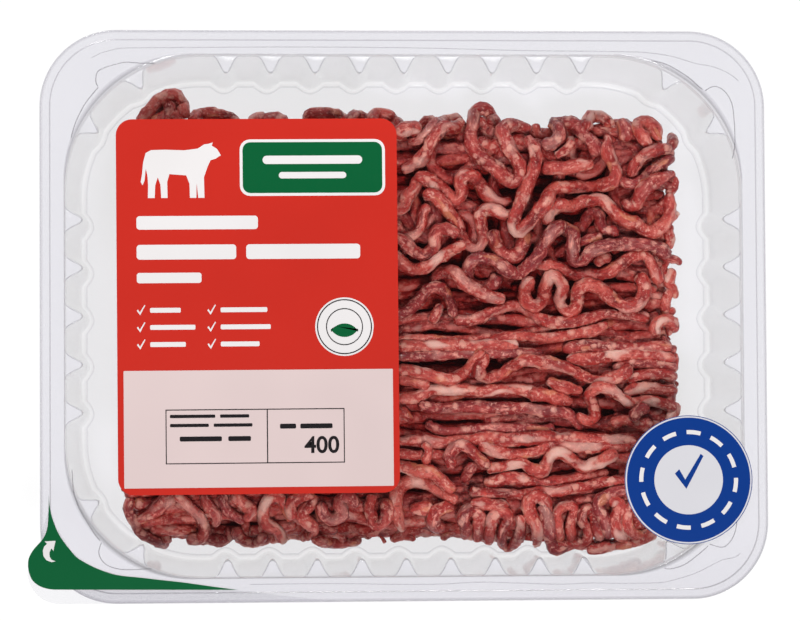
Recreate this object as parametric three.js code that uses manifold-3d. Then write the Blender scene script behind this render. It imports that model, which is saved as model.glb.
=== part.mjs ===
// A sealed tray pack of minced meat: a clear fluted tray, a flat lid film with a peel tab,
// a heap of mince strands inside, and two labels on the film.
// Millimetres, +Z up. The origin is the middle of the tray's flat underside.

import * as THREE from "three";
import { mergeVertices } from "three/addons/utils/BufferGeometryUtils.js";
import Module from "manifold-3d";

const wasm = await Module();
wasm.setup();
const { Manifold } = wasm;

// Tray
const TRAY_LENGTH = 227;
const TRAY_WIDTH = 178;
const TRAY_HEIGHT = 40;
const TRAY_CORNER = 24;
const SHEET = 0.6;
const FLANGE = 7.8;
const LIP_WIDTH = 2.5;
const LIP_DROP = 1.4;
const MOUTH_CORNER = 33;
const WALL_DRAFT = 4;
const COLLAR_DRAFT = 0.5;
const BASE_CHAMFER = 1.4;
const LEDGE_DROP = 4.5;

// Flutes pressed into the tray's wall
const FLUTE_HALF_WIDTH = 3.9;
const FLUTE_DEPTH_TOP = 5.2;
const FLUTE_DEPTH_BASE = 3.2;
const LONG_SIDE_FLUTES = 9;
const LONG_SIDE_PITCH = 13.9;
const SHORT_SIDE_FLUTES = 5;
const SHORT_SIDE_PITCH = 15;
const CORNER_FLUTE_ANGLES = [30, 60];
const CORNER_STOPS = [0, 13, 45, 77, 90];

// Shallow pocket beside the mouth at each corner of the flange
const POCKET_RADIUS = 10;
const POCKET_REACH = 4.6;
const POCKET_DEPTH = 1.8;

// Lid film
const FILM_THICKNESS = 0.2;
const FILM_INSET = 0.2;
const TAB_RADIUS = 10;
const TAB_OVERHANG = 4;
const TAB_START = 21;

// Labels
const LABEL_THICKNESS = 0.2;
const MAIN_LABEL = { width: 87.8, height: 116.8, corner: 5, x: -45.6, y: 3, turn: 0.3 };
const ROUND_LABEL = { radius: 20.1, x: 89.3, y: -51 };

// Pieces that rest on each other are this far apart
const REST_GAP = 0.3;

// Mince: a heap's core and the strands that lie on it
const STRAND_RADIUS = 2.15;
const STRAND_SIDES = 5;
const HEAP = { left: -87.5, right: 88.5, front: -70, back: 62, corner: 14 };
const HEAP_RISE = 18.2;
const HEAP_LAYERS = [
  { rise: 0, inset: 2.5 },
  { rise: 0.25, inset: 0 },
  { rise: 0.68, inset: 0.6 },
  { rise: 0.92, inset: 4 },
  { rise: 1, inset: 10 },
];
const HEAP_CORNER_STEPS = 4;
const HEAP_SIDE_PIECES = 12;
const HEAP_UNEVEN = 0.008;
const STRAIGHT = { runs: 11, pitch: 6.2, fromFront: 7, sway: 1.3, lift: 0.7, bob: 0.6, step: 14 };
const CURLED = {
  columns: 4,
  rows: 4,
  firstRow: 9,
  rowPitch: 12,
  fromSide: 24,
  length: 62,
  waveLength: 27,
  swing: 1.3,
  lift: 1.6,
  bob: 1.2,
  step: 3.9,
};
const LOOPS = { front: 9, back: 5, fromSide: 11, reach: 1, halfGap: 2.6, step: 4.6 };
const SIMPLIFY_WITHIN = 0.3;

const FLOOR = SHEET;
const LEDGE_HEIGHT = TRAY_HEIGHT - LEDGE_DROP;
const HEAP_FLOOR = FLOOR + REST_GAP;
const HEAP_TOP = HEAP_FLOOR + HEAP_RISE;
const FULL_TURN = 2 * Math.PI;
const radians = THREE.MathUtils.degToRad;

// Random numbers from 0 to 1, the same on every run
function seededRandom(seed) {
  let state = seed;
  return () => {
    state = (state * 1664525 + 1013904223) % 4294967296;
    return state / 4294967296;
  };
}

// A closed three.js geometry as a solid that can be joined and cut
function solidOf(geometry) {
  const bare = new THREE.BufferGeometry();
  const plain = geometry.index ? geometry.toNonIndexed() : geometry;
  bare.setAttribute("position", plain.getAttribute("position"));
  const merged = mergeVertices(bare, 1e-4);
  return new Manifold(
    new wasm.Mesh({
      numProp: 3,
      vertProperties: merged.attributes.position.array,
      triVerts: new Uint32Array(merged.index.array),
    }),
  );
}

function geometryOf(solid) {
  const mesh = solid.getMesh();
  const geometry = new THREE.BufferGeometry();
  geometry.setAttribute("position", new THREE.BufferAttribute(mesh.vertProperties, 3));
  geometry.setIndex(new THREE.BufferAttribute(mesh.triVerts, 1));
  geometry.computeVertexNormals();
  return geometry;
}

// A closed solid through stacked outlines, each a list of as many Vector2 at one height
function loftSolid(layers) {
  const count = layers[0].outline.length;
  const positions = [];
  const indices = [];
  for (const { height, outline } of layers) {
    outline.forEach((p) => positions.push(p.x, p.y, height));
  }
  for (let layer = 0; layer < layers.length - 1; layer++) {
    for (let i = 0; i < count; i++) {
      const next = (i + 1) % count;
      const [a, b] = [layer * count + i, layer * count + next];
      indices.push(a, b, b + count, a, b + count, a + count);
    }
  }
  const top = (layers.length - 1) * count;
  for (const [a, b, c] of THREE.ShapeUtils.triangulateShape(layers[0].outline, [])) {
    indices.push(a, c, b);
  }
  for (const [a, b, c] of THREE.ShapeUtils.triangulateShape(layers.at(-1).outline, [])) {
    indices.push(top + a, top + b, top + c);
  }
  const geometry = new THREE.BufferGeometry();
  geometry.setAttribute("position", new THREE.Float32BufferAttribute(positions, 3));
  geometry.setIndex(indices);
  return solidOf(geometry);
}

function onCircle(centre, radius, angle) {
  return new THREE.Vector2(Math.cos(angle), Math.sin(angle)).multiplyScalar(radius).add(centre);
}

// Inward share of a flute's cross-section: 0 at its edges, 1 at its ridge
function fluteShare(across) {
  return 0.5 + 0.5 * Math.cos(Math.PI * across);
}

const FLUTE_STOPS = [-1, -0.5, -0.18, 0.18, 0.5, 1];

// Stations along one straight side, measured from its middle, each with its flute share
function sideStations(flutes, pitch) {
  const stations = [];
  for (let i = 0; i < flutes; i++) {
    const middle = (i - (flutes - 1) / 2) * pitch;
    for (const stop of FLUTE_STOPS) {
      stations.push({ along: middle + stop * FLUTE_HALF_WIDTH, share: fluteShare(stop) });
    }
  }
  return stations;
}

// Stations round one corner, as degrees of its arc
function cornerStations() {
  const stations = CORNER_STOPS.map((angle) => ({ angle, share: 0 }));
  const halfAngle = THREE.MathUtils.radToDeg(FLUTE_HALF_WIDTH / MOUTH_CORNER);
  for (const middle of CORNER_FLUTE_ANGLES) {
    for (const stop of FLUTE_STOPS) {
      stations.push({ angle: middle + stop * halfAngle, share: fluteShare(stop) });
    }
  }
  return stations.sort((a, b) => a.angle - b.angle);
}

// The tray wall's outline, with flutes of the given depth, counter-clockwise
function flutedOutline(halfLength, halfWidth, corner, fluteDepth) {
  const points = [];
  const quarters = [
    { turn: 0, straight: sideStations(SHORT_SIDE_FLUTES, SHORT_SIDE_PITCH) },
    { turn: 90, straight: sideStations(LONG_SIDE_FLUTES, LONG_SIDE_PITCH) },
    { turn: 180, straight: sideStations(SHORT_SIDE_FLUTES, SHORT_SIDE_PITCH) },
    { turn: 270, straight: sideStations(LONG_SIDE_FLUTES, LONG_SIDE_PITCH) },
  ];
  for (const { turn, straight } of quarters) {
    const outward = new THREE.Vector2(1, 0).rotateAround(new THREE.Vector2(), radians(turn));
    const along = new THREE.Vector2(-outward.y, outward.x);
    const reach = turn % 180 === 0 ? halfLength : halfWidth;
    for (const station of straight) {
      points.push(
        outward
          .clone()
          .multiplyScalar(reach - fluteDepth * station.share)
          .addScaledVector(along, station.along),
      );
    }
    const side = turn % 180 === 0 ? halfWidth : halfLength;
    const centre = outward
      .clone()
      .multiplyScalar(reach - corner)
      .addScaledVector(along, side - corner);
    for (const station of cornerStations()) {
      const angle = radians(turn + station.angle);
      const radius = corner - fluteDepth * station.share;
      points.push(onCircle(centre, radius, angle));
    }
  }
  return points;
}

// A rectangle with round corners, counter-clockwise
function roundedOutline(halfLength, halfWidth, corner, cornerSteps = 7) {
  const points = [];
  for (let quarter = 0; quarter < 4; quarter++) {
    const centre = new THREE.Vector2(
      (halfLength - corner) * (quarter === 0 || quarter === 3 ? 1 : -1),
      (halfWidth - corner) * (quarter < 2 ? 1 : -1),
    );
    for (let step = 0; step <= cornerSteps; step++) {
      points.push(onCircle(centre, corner, (Math.PI / 2) * (quarter + step / cornerSteps)));
    }
  }
  return points;
}

function flatSolid(outline, low, high) {
  return loftSolid([
    { height: low, outline },
    { height: high, outline },
  ]);
}

const mouthHalfLength = TRAY_LENGTH / 2 - FLANGE;
const mouthHalfWidth = TRAY_WIDTH / 2 - FLANGE;

// The space inside the fluted wall, or with grow = SHEET the body that holds it
function flutedBody(grow, bottom, top) {
  const wall = (height, inset, depth) => ({
    height,
    outline: flutedOutline(
      mouthHalfLength - COLLAR_DRAFT - inset + grow,
      mouthHalfWidth - COLLAR_DRAFT - inset + grow,
      MOUTH_CORNER - inset + grow,
      depth,
    ),
  });
  return loftSolid([
    wall(bottom, WALL_DRAFT + BASE_CHAMFER, FLUTE_DEPTH_BASE * 0.8),
    wall(bottom + BASE_CHAMFER, WALL_DRAFT, FLUTE_DEPTH_BASE),
    wall(top, 0, FLUTE_DEPTH_TOP),
  ]);
}

// The plain collar between the tops of the flutes and the flange
function collarBody(grow, bottom, top) {
  const wall = (height, inset) => ({
    height,
    outline: roundedOutline(
      mouthHalfLength - inset + grow,
      mouthHalfWidth - inset + grow,
      MOUTH_CORNER - inset + grow,
    ),
  });
  return loftSolid([wall(bottom, COLLAR_DRAFT), wall(top, 0)]);
}

// The flat rim with its turned-down lip
function flangeBody(grow, drop) {
  const outer = (height, inset) => ({
    height: height - drop,
    outline: roundedOutline(TRAY_LENGTH / 2 - inset, TRAY_WIDTH / 2 - inset, TRAY_CORNER - inset),
  });
  return loftSolid([
    outer(TRAY_HEIGHT - LIP_DROP - SHEET, grow),
    outer(TRAY_HEIGHT - LIP_DROP, grow),
    outer(TRAY_HEIGHT, LIP_WIDTH),
  ]);
}

// Round pockets that widen the mouth at the four corners
function cornerPockets(grow, bottom, top) {
  const diagonal = Math.SQRT1_2;
  const reach = MOUTH_CORNER + POCKET_REACH - POCKET_RADIUS;
  const pockets = [];
  for (const x of [-1, 1]) {
    for (const y of [-1, 1]) {
      const disc = new THREE.CylinderGeometry(POCKET_RADIUS + grow, POCKET_RADIUS + grow, top - bottom, 20);
      disc.rotateX(Math.PI / 2);
      disc.translate(
        x * (mouthHalfLength - MOUTH_CORNER + reach * diagonal),
        y * (mouthHalfWidth - MOUTH_CORNER + reach * diagonal),
        (bottom + top) / 2,
      );
      pockets.push(solidOf(disc));
    }
  }
  return Manifold.union(pockets);
}

function traySolid() {
  const above = TRAY_HEIGHT + 1;
  const underFlange = flatSolid(
    roundedOutline(
      TRAY_LENGTH / 2 - LIP_WIDTH,
      TRAY_WIDTH / 2 - LIP_WIDTH,
      TRAY_CORNER - LIP_WIDTH,
    ),
    TRAY_HEIGHT - LIP_DROP - 2 * SHEET,
    TRAY_HEIGHT - SHEET,
  );
  const lipHollow = flangeBody(SHEET, SHEET);
  const flange = flangeBody(0, 0).subtract(lipHollow.add(underFlange));
  const outside = Manifold.union([
    flutedBody(SHEET, 0, LEDGE_HEIGHT - SHEET),
    collarBody(SHEET, LEDGE_HEIGHT - SHEET, TRAY_HEIGHT - SHEET / 2),
    cornerPockets(SHEET, TRAY_HEIGHT - POCKET_DEPTH - SHEET, TRAY_HEIGHT - SHEET / 2),
    flange,
  ]);
  const inside = Manifold.union([
    flutedBody(0, FLOOR, LEDGE_HEIGHT),
    collarBody(0, LEDGE_HEIGHT, above),
    cornerPockets(0, TRAY_HEIGHT - POCKET_DEPTH, above),
  ]);
  return outside.subtract(inside);
}

// The lid film's outline, with the peel tab standing past the front left corner
function filmShape() {
  const halfLength = TRAY_LENGTH / 2 - FILM_INSET;
  const halfWidth = TRAY_WIDTH / 2 - FILM_INSET;
  const corner = TRAY_CORNER - FILM_INSET;
  const tabX = -halfLength - TAB_OVERHANG + TAB_RADIUS;
  const tabY = -halfWidth + TAB_RADIUS;
  const shape = new THREE.Shape();
  shape.moveTo(tabX, -halfWidth);
  shape.lineTo(halfLength - corner, -halfWidth);
  shape.absarc(halfLength - corner, -halfWidth + corner, corner, -Math.PI / 2, 0);
  shape.absarc(halfLength - corner, halfWidth - corner, corner, 0, Math.PI / 2);
  shape.absarc(-halfLength + corner, halfWidth - corner, corner, Math.PI / 2, Math.PI);
  shape.lineTo(-halfLength, -halfWidth + TAB_START);
  shape.bezierCurveTo(
    -halfLength,
    -halfWidth + TAB_START * 0.8,
    tabX - TAB_RADIUS,
    tabY + TAB_START * 0.3,
    tabX - TAB_RADIUS,
    tabY,
  );
  shape.absarc(tabX, tabY, TAB_RADIUS, Math.PI, 1.5 * Math.PI);
  return shape;
}

function roundedShape(width, height, corner) {
  return new THREE.Shape(roundedOutline(width / 2, height / 2, corner, 5));
}

// The heap's outline, pulled in by inset and a little uneven
function heapOutline(inset) {
  const length = HEAP.right - HEAP.left;
  const width = HEAP.back - HEAP.front;
  const corners = roundedOutline(
    length / 2 - inset,
    width / 2 - inset,
    HEAP.corner - inset / 2,
    HEAP_CORNER_STEPS,
  );
  const middle = new THREE.Vector2((HEAP.left + HEAP.right) / 2, (HEAP.front + HEAP.back) / 2);
  const outline = [];
  corners.forEach((point, i) => {
    const next = corners[(i + 1) % corners.length];
    const onSide = i % (HEAP_CORNER_STEPS + 1) === HEAP_CORNER_STEPS;
    const pieces = onSide ? HEAP_SIDE_PIECES : 1;
    for (let k = 0; k < pieces; k++) {
      outline.push(point.clone().lerp(next, k / pieces).add(middle));
    }
  });
  const uneven = (p) => 1 + HEAP_UNEVEN * (Math.sin(p.x * 0.19 + 1) + Math.sin(p.y * 0.23));
  return outline.map((p) => p.multiplyScalar(uneven(p)));
}

function heapCore() {
  return loftSolid(
    HEAP_LAYERS.map(({ rise, inset }) => ({
      height: HEAP_FLOOR + rise * HEAP_RISE,
      outline: heapOutline(inset),
    })),
  );
}

// One strand of mince through the given points, cut square at both ends
function strandSolid(points, stepLength) {
  const curve = new THREE.CatmullRomCurve3(points, false, "centripetal");
  const section = new THREE.Shape();
  for (let i = 0; i < STRAND_SIDES; i++) {
    const angle = (FULL_TURN * i) / STRAND_SIDES;
    const [x, y] = [STRAND_RADIUS * Math.cos(angle), STRAND_RADIUS * Math.sin(angle)];
    if (i === 0) section.moveTo(x, y);
    else section.lineTo(x, y);
  }
  const steps = Math.round(curve.getLength() / stepLength);
  return solidOf(new THREE.ExtrudeGeometry(section, { steps, extrudePath: curve, bevelEnabled: false }));
}


// Long, nearly straight strands side by side over the front half of the heap
function straightStrands(random) {
  const strands = [];
  const { runs, pitch, fromFront, sway, lift, bob, step } = STRAIGHT;
  for (let row = 0; row < runs; row++) {
    const middle = HEAP.front + fromFront + row * pitch;
    const [phase, wave, trim] = [FULL_TURN * random(), 55 + 40 * random(), 5 * random()];
    const left = HEAP.left + trim;
    const right = HEAP.right + STRAND_RADIUS;
    const points = [];
    for (let i = 0; i <= 12; i++) {
      const x = left + ((right - left) * i) / 12;
      const y = middle + sway * Math.sin((FULL_TURN * x) / wave + phase);
      points.push(new THREE.Vector3(x, y, HEAP_TOP + lift + bob * Math.sin(x / 17 + phase)));
    }
    strands.push(strandSolid(points, step));
  }
  return strands;
}

// Meandering strands over the back half of the heap
function curledStrands(random) {
  const strands = [];
  const { columns, rows, firstRow, rowPitch, fromSide, length, waveLength, swing, lift, bob, step } = CURLED;
  const columnPitch = (HEAP.right - HEAP.left - 2 * fromSide) / (columns - 0.75);
  for (let i = 0; i < columns * rows; i++) {
    const column = i % columns;
    const row = Math.floor(i / columns);
    const base = 0.5 * (random() - 0.5) + (row % 2) * Math.PI;
    const phase = FULL_TURN * random();
    const trail = [new THREE.Vector2()];
    for (let s = 0; s < length; s += step) {
      const heading = base + swing * Math.sin((FULL_TURN * s) / waveLength + phase);
      const stride = new THREE.Vector2(step, 0).rotateAround(new THREE.Vector2(), heading);
      trail.push(trail.at(-1).clone().add(stride));
    }
    const centre = new THREE.Vector2(
      HEAP.left + fromSide + columnPitch * (column + 0.25 * (row % 2)),
      firstRow + row * rowPitch,
    );
    const shift = centre.sub(trail[Math.floor(trail.length / 2)]);
    const points = trail.map((p, k) => {
      const height = HEAP_TOP + lift + bob * Math.sin(k * 0.5 + phase);
      return new THREE.Vector3(p.x + shift.x, p.y + shift.y, height);
    });
    strands.push(strandSolid(points, step));
  }
  return strands;
}

// Hairpins of strand that hang over an edge of the heap; way is -1 for the front, 1 for the back
function edgeLoops(count, way, lowest, random) {
  const strands = [];
  const edge = way < 0 ? HEAP.front : HEAP.back;
  const run = HEAP.right - HEAP.left - 2 * LOOPS.fromSide;
  for (let i = 0; i < count; i++) {
    const x = HEAP.left + LOOPS.fromSide + (run * (i + 0.3 * (random() - 0.5))) / (count - 1);
    const half = LOOPS.halfGap + random();
    const low = HEAP_FLOOR + STRAND_RADIUS + lowest + 4 * random();
    const out = edge + way * LOOPS.reach * random();
    const halfway = (HEAP_TOP + low) / 2;
    const points = [
      new THREE.Vector3(x - half, edge - way * 11, HEAP_TOP + 1),
      new THREE.Vector3(x - half, edge - way * 4, HEAP_TOP),
      new THREE.Vector3(x - half, out, halfway),
      new THREE.Vector3(x, out, low),
      new THREE.Vector3(x + half, out, halfway),
      new THREE.Vector3(x + half, edge - way * 3, HEAP_TOP - 0.5),
    ];
    strands.push(strandSolid(points, LOOPS.step));
  }
  return strands;
}

// The largest closed shell of a solid, which fills any hollow sealed inside it
function filled(solid) {
  return solid.decompose().reduce((a, b) => (a.volume() > b.volume() ? a : b));
}

function minceSolid() {
  const random = seededRandom(11);
  const strands = [
    ...straightStrands(random),
    ...curledStrands(random),
    ...edgeLoops(LOOPS.front, -1, 2.5, random),
    ...edgeLoops(LOOPS.back, 1, 7, random),
  ];
  return filled(Manifold.union([heapCore(), ...strands]).simplify(SIMPLIFY_WITHIN));
}

function material(colour, roughness, opacity = 1) {
  return new THREE.MeshStandardMaterial({
    color: colour,
    roughness,
    metalness: 0,
    transparent: opacity < 1,
    opacity,
  });
}

function namedMesh(name, geometry, look) {
  const mesh = new THREE.Mesh(geometry, look);
  mesh.name = name;
  return mesh;
}

const pack = new THREE.Group();

pack.add(namedMesh("tray", geometryOf(traySolid()), material(0xe8e9ef, 0.08, 0.25)));
pack.add(namedMesh("mince", geometryOf(minceSolid()), material(0x8e2f2c, 0.35)));

const filmBottom = TRAY_HEIGHT + REST_GAP;
const film = namedMesh(
  "lid_film",
  new THREE.ExtrudeGeometry(filmShape(), { depth: FILM_THICKNESS, bevelEnabled: false, curveSegments: 7 }),
  material(0xf2f3f7, 0.05, 0.12),
);
film.position.z = filmBottom;
pack.add(film);

const labelBottom = filmBottom + FILM_THICKNESS + REST_GAP;
const mainLabel = namedMesh(
  "main_label",
  new THREE.ExtrudeGeometry(roundedShape(MAIN_LABEL.width, MAIN_LABEL.height, MAIN_LABEL.corner), {
    depth: LABEL_THICKNESS,
    bevelEnabled: false,
  }),
  material(0xcf3227, 0.4),
);
mainLabel.position.set(MAIN_LABEL.x, MAIN_LABEL.y, labelBottom);
mainLabel.rotation.z = radians(MAIN_LABEL.turn);
pack.add(mainLabel);

const roundLabel = namedMesh(
  "round_label",
  new THREE.CylinderGeometry(ROUND_LABEL.radius, ROUND_LABEL.radius, LABEL_THICKNESS, 40),
  material(0x1f55a4, 0.4),
);
roundLabel.rotation.x = Math.PI / 2;
roundLabel.position.set(ROUND_LABEL.x, ROUND_LABEL.y, labelBottom + LABEL_THICKNESS / 2);
pack.add(roundLabel);

export default pack;
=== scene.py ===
# A sealed tray pack of minced meat: clear fluted tray, lid film with a printed peel tab,
# strands of mince inside, and two printed labels on the film.
# Sizes are in millimetres and become metres when a piece is made.

import math

import bmesh
import bpy
import numpy as np
from mathutils import Euler, Matrix, Vector


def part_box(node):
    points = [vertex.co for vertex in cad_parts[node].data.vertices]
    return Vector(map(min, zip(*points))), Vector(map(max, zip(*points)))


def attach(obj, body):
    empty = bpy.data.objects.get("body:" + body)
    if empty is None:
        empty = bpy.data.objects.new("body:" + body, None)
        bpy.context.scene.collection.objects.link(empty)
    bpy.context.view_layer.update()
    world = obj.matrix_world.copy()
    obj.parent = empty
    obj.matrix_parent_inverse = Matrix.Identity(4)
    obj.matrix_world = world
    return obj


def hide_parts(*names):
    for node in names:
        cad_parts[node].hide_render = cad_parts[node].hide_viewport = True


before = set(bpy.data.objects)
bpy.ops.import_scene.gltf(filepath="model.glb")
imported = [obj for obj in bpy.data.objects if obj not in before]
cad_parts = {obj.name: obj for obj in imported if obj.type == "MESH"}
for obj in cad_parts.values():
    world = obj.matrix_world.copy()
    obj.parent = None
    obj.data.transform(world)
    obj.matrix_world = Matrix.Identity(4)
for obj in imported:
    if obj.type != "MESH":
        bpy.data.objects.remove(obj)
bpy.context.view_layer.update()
mm = 0.001
scene = bpy.context.scene
scene.view_settings.view_transform = "Standard"


def boxInMm(node):
    low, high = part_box(node)
    return np.array(low) / mm, np.array(high) / mm


# Camera, from above and a little to the left and front of the middle

view = {
    "place": (-78.36, -41.78, 1129.75),
    "turn": (2.285, -4.003, -0.326),
    "lens": 158.12,
    "sensor": 36,
    "pictureWidth": 800,
    "pictureHeight": 621,
}

viewTurn = Euler([math.radians(a) for a in view["turn"]], "XYZ")
cameraData = bpy.data.cameras.new("camera")
cameraData.lens = view["lens"]
cameraData.sensor_width = view["sensor"]
cameraData.clip_end = 20
camera = bpy.data.objects.new("camera", cameraData)
camera.location = Vector(view["place"]) * mm
camera.rotation_euler = viewTurn
scene.collection.objects.link(camera)
scene.camera = camera


# x and y, in mm, of the point at this height that shows at a pixel of the picture
def underPixel(across, down, height):
    focal = view["lens"] / view["sensor"] * view["pictureWidth"]
    fromMiddle = (across - view["pictureWidth"] / 2, view["pictureHeight"] / 2 - down)
    ray = viewTurn.to_matrix() @ Vector((fromMiddle[0] / focal, fromMiddle[1] / focal, -1))
    place = Vector(view["place"])
    point = place + ray * ((height - place.z) / ray.z)
    return point.x, point.y


# Room: a white floor that glows a little, and soft lamps behind the camera

room = {
    "floorSize": 6000,
    "floorGlow": 0.93,
    "skyOverhead": 0.14,
    "skyLow": 0.65,
    "lamps": {
        "backLamp": {"place": (-350, 1150, 1300), "size": 420, "watts": 13.5},
        "frontLamp": {"place": (150, -780, 1350), "size": 420, "watts": 14.5},
    },
}


def newMaterial(name):
    material = bpy.data.materials.new(name)
    material.use_nodes = True
    nodes = material.node_tree.nodes
    return material, nodes, material.node_tree.links, nodes["Principled BSDF"]


def setInputs(node, values):
    for name, value in values.items():
        node.inputs[name].default_value = value


def rampNode(nodes, links, factor, stops):
    node = nodes.new("ShaderNodeValToRGB")
    elements = node.color_ramp.elements
    while len(elements) > 1:
        elements.remove(elements[-1])
    for index, (position, colour) in enumerate(stops):
        element = elements[0] if index == 0 else elements.new(position)
        element.position = position
        element.color = (*colour, 1) if isinstance(colour, tuple) else (colour, colour, colour, 1)
    links.new(factor, node.inputs["Fac"])
    return node


def makeRoom():
    world = bpy.data.worlds.new("paleSky")
    world.use_nodes = True
    nodes, links = world.node_tree.nodes, world.node_tree.links
    direction = nodes.new("ShaderNodeTexCoord").outputs["Generated"]
    upward = nodes.new("ShaderNodeSeparateXYZ")
    links.new(direction, upward.inputs[0])
    low, overhead = room["skyLow"], room["skyOverhead"]
    stops = [(0.0, low), (0.45, low * 0.7), (0.9, overhead)]
    glow = rampNode(nodes, links, upward.outputs["Z"], stops)
    links.new(glow.outputs[0], nodes["Background"].inputs["Color"])
    scene.world = world
    bm = bmesh.new()
    bmesh.ops.create_grid(bm, x_segments=1, y_segments=1, size=room["floorSize"] / 2 * mm)
    bmesh.ops.translate(bm, verts=bm.verts, vec=(0, 0, -0.1 * mm))
    mesh = bpy.data.meshes.new("floor")
    bm.to_mesh(mesh)
    bm.free()
    floor = bpy.data.objects.new("floor", mesh)
    scene.collection.objects.link(floor)
    material, nodes, links, surface = newMaterial("whiteFloor")
    values = {
        "Base Color": (0.1, 0.1, 0.1, 1),
        "Roughness": 0.9,
        "Specular IOR Level": 0,
        "Emission Color": (1, 1, 1, 1),
        "Emission Strength": room["floorGlow"],
    }
    setInputs(surface, values)
    mesh.materials.append(material)
    for name, lamp in room["lamps"].items():
        light = bpy.data.lights.new(name, "AREA")
        light.energy = lamp["watts"]
        light.size = lamp["size"] * mm
        holder = bpy.data.objects.new(name, light)
        holder.location = Vector(lamp["place"]) * mm
        holder.rotation_euler = holder.location.to_track_quat("Z", "Y").to_euler()
        scene.collection.objects.link(holder)


makeRoom()
print("room and camera ready")


# Helpers that every piece uses


def addPiece(name, mesh, material, node=None):
    piece = bpy.data.objects.new(name, mesh)
    scene.collection.objects.link(piece)
    mesh.materials.clear()
    mesh.materials.append(material)
    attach(piece, "root")
    if node:
        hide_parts(node)
    return piece


def meshFromBmesh(name, bm, smooth=True):
    bmesh.ops.scale(bm, vec=(mm, mm, mm), verts=bm.verts)
    for face in bm.faces:
        face.smooth = smooth
    mesh = bpy.data.meshes.new(name)
    bm.to_mesh(mesh)
    bm.free()
    return mesh


def addNode(nodes, kind, **settings):
    node = nodes.new(kind)
    for key, value in settings.items():
        setattr(node, key, value)
    return node


def noiseNode(nodes, links, vector, scale, detail=2, roughness=0.5):
    node = nodes.new("ShaderNodeTexNoise")
    setInputs(node, {"Scale": scale, "Detail": detail, "Roughness": roughness})
    links.new(vector, node.inputs["Vector"])
    return node


def mixColour(nodes, links, factor, first, second, blend="MIX"):
    node = addNode(nodes, "ShaderNodeMix", data_type="RGBA", blend_type=blend)
    for value, socket in ((factor, 0), (first, 6), (second, 7)):
        if isinstance(value, bpy.types.NodeSocket):
            links.new(value, node.inputs[socket])
        elif socket == 0:
            node.inputs[socket].default_value = value
        else:
            node.inputs[socket].default_value = (*value, 1)
    return node.outputs[2]


def mathNode(nodes, links, operation, first, second=0.0):
    node = addNode(nodes, "ShaderNodeMath", operation=operation)
    for value, socket in ((first, 0), (second, 1)):
        if isinstance(value, bpy.types.NodeSocket):
            links.new(value, node.inputs[socket])
        else:
            node.inputs[socket].default_value = value
    return node.outputs[0]


def attributeNode(nodes, name, output="Fac"):
    return addNode(nodes, "ShaderNodeAttribute", attribute_name=name).outputs[output]


def objectCoordinates(nodes):
    return nodes.new("ShaderNodeTexCoord").outputs["Object"]


def bumpNode(nodes, links, surface, height, strength, distance):
    node = nodes.new("ShaderNodeBump")
    setInputs(node, {"Strength": strength, "Distance": distance * mm})
    links.new(height, node.inputs["Height"])
    links.new(node.outputs["Normal"], surface.inputs["Normal"])
    links.new(node.outputs["Normal"], surface.inputs["Coat Normal"])


def writeAttribute(mesh, name, values):
    values = np.asarray(values, np.float32)
    if values.ndim == 2:
        attribute = mesh.attributes.new(name, "FLOAT_VECTOR", "POINT")
        attribute.data.foreach_set("vector", values.ravel())
    else:
        attribute = mesh.attributes.new(name, "FLOAT", "POINT")
        attribute.data.foreach_set("value", values)


# Mirroring of the clear materials: it grows with the slant
slantGloss = {"blend": 0.5, "power": 4.0, "roughnessShare": 0.6}


# A clear material: it veils what is behind by a number or an attribute, and mirrors at a slant
def clearMaterial(name, colour, veil, roughness, mirror):
    material, nodes, links, surface = newMaterial(name)
    setInputs(surface, {"Base Color": (*colour, 1), "Roughness": roughness})
    seeThrough = nodes.new("ShaderNodeBsdfTransparent")
    veiled = nodes.new("ShaderNodeMixShader")
    if isinstance(veil, str):
        links.new(attributeNode(nodes, veil), veiled.inputs["Fac"])
    else:
        veiled.inputs["Fac"].default_value = veil
    links.new(seeThrough.outputs[0], veiled.inputs[1])
    links.new(surface.outputs[0], veiled.inputs[2])
    slant = addNode(nodes, "ShaderNodeLayerWeight")
    slant.inputs["Blend"].default_value = slantGloss["blend"]
    steep = mathNode(nodes, links, "POWER", slant.outputs["Facing"], slantGloss["power"])
    gloss = nodes.new("ShaderNodeBsdfGlossy")
    gloss.inputs["Roughness"].default_value = roughness * slantGloss["roughnessShare"]
    mirrored = nodes.new("ShaderNodeMixShader")
    links.new(mathNode(nodes, links, "MULTIPLY", steep, mirror), mirrored.inputs["Fac"])
    links.new(veiled.outputs[0], mirrored.inputs[1])
    links.new(gloss.outputs[0], mirrored.inputs[2])
    links.new(mirrored.outputs[0], nodes["Material Output"].inputs["Surface"])
    return material, nodes, links, surface


# Tray: one clear sheet, drawn as a fluted loop that is extruded down its profile

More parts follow.
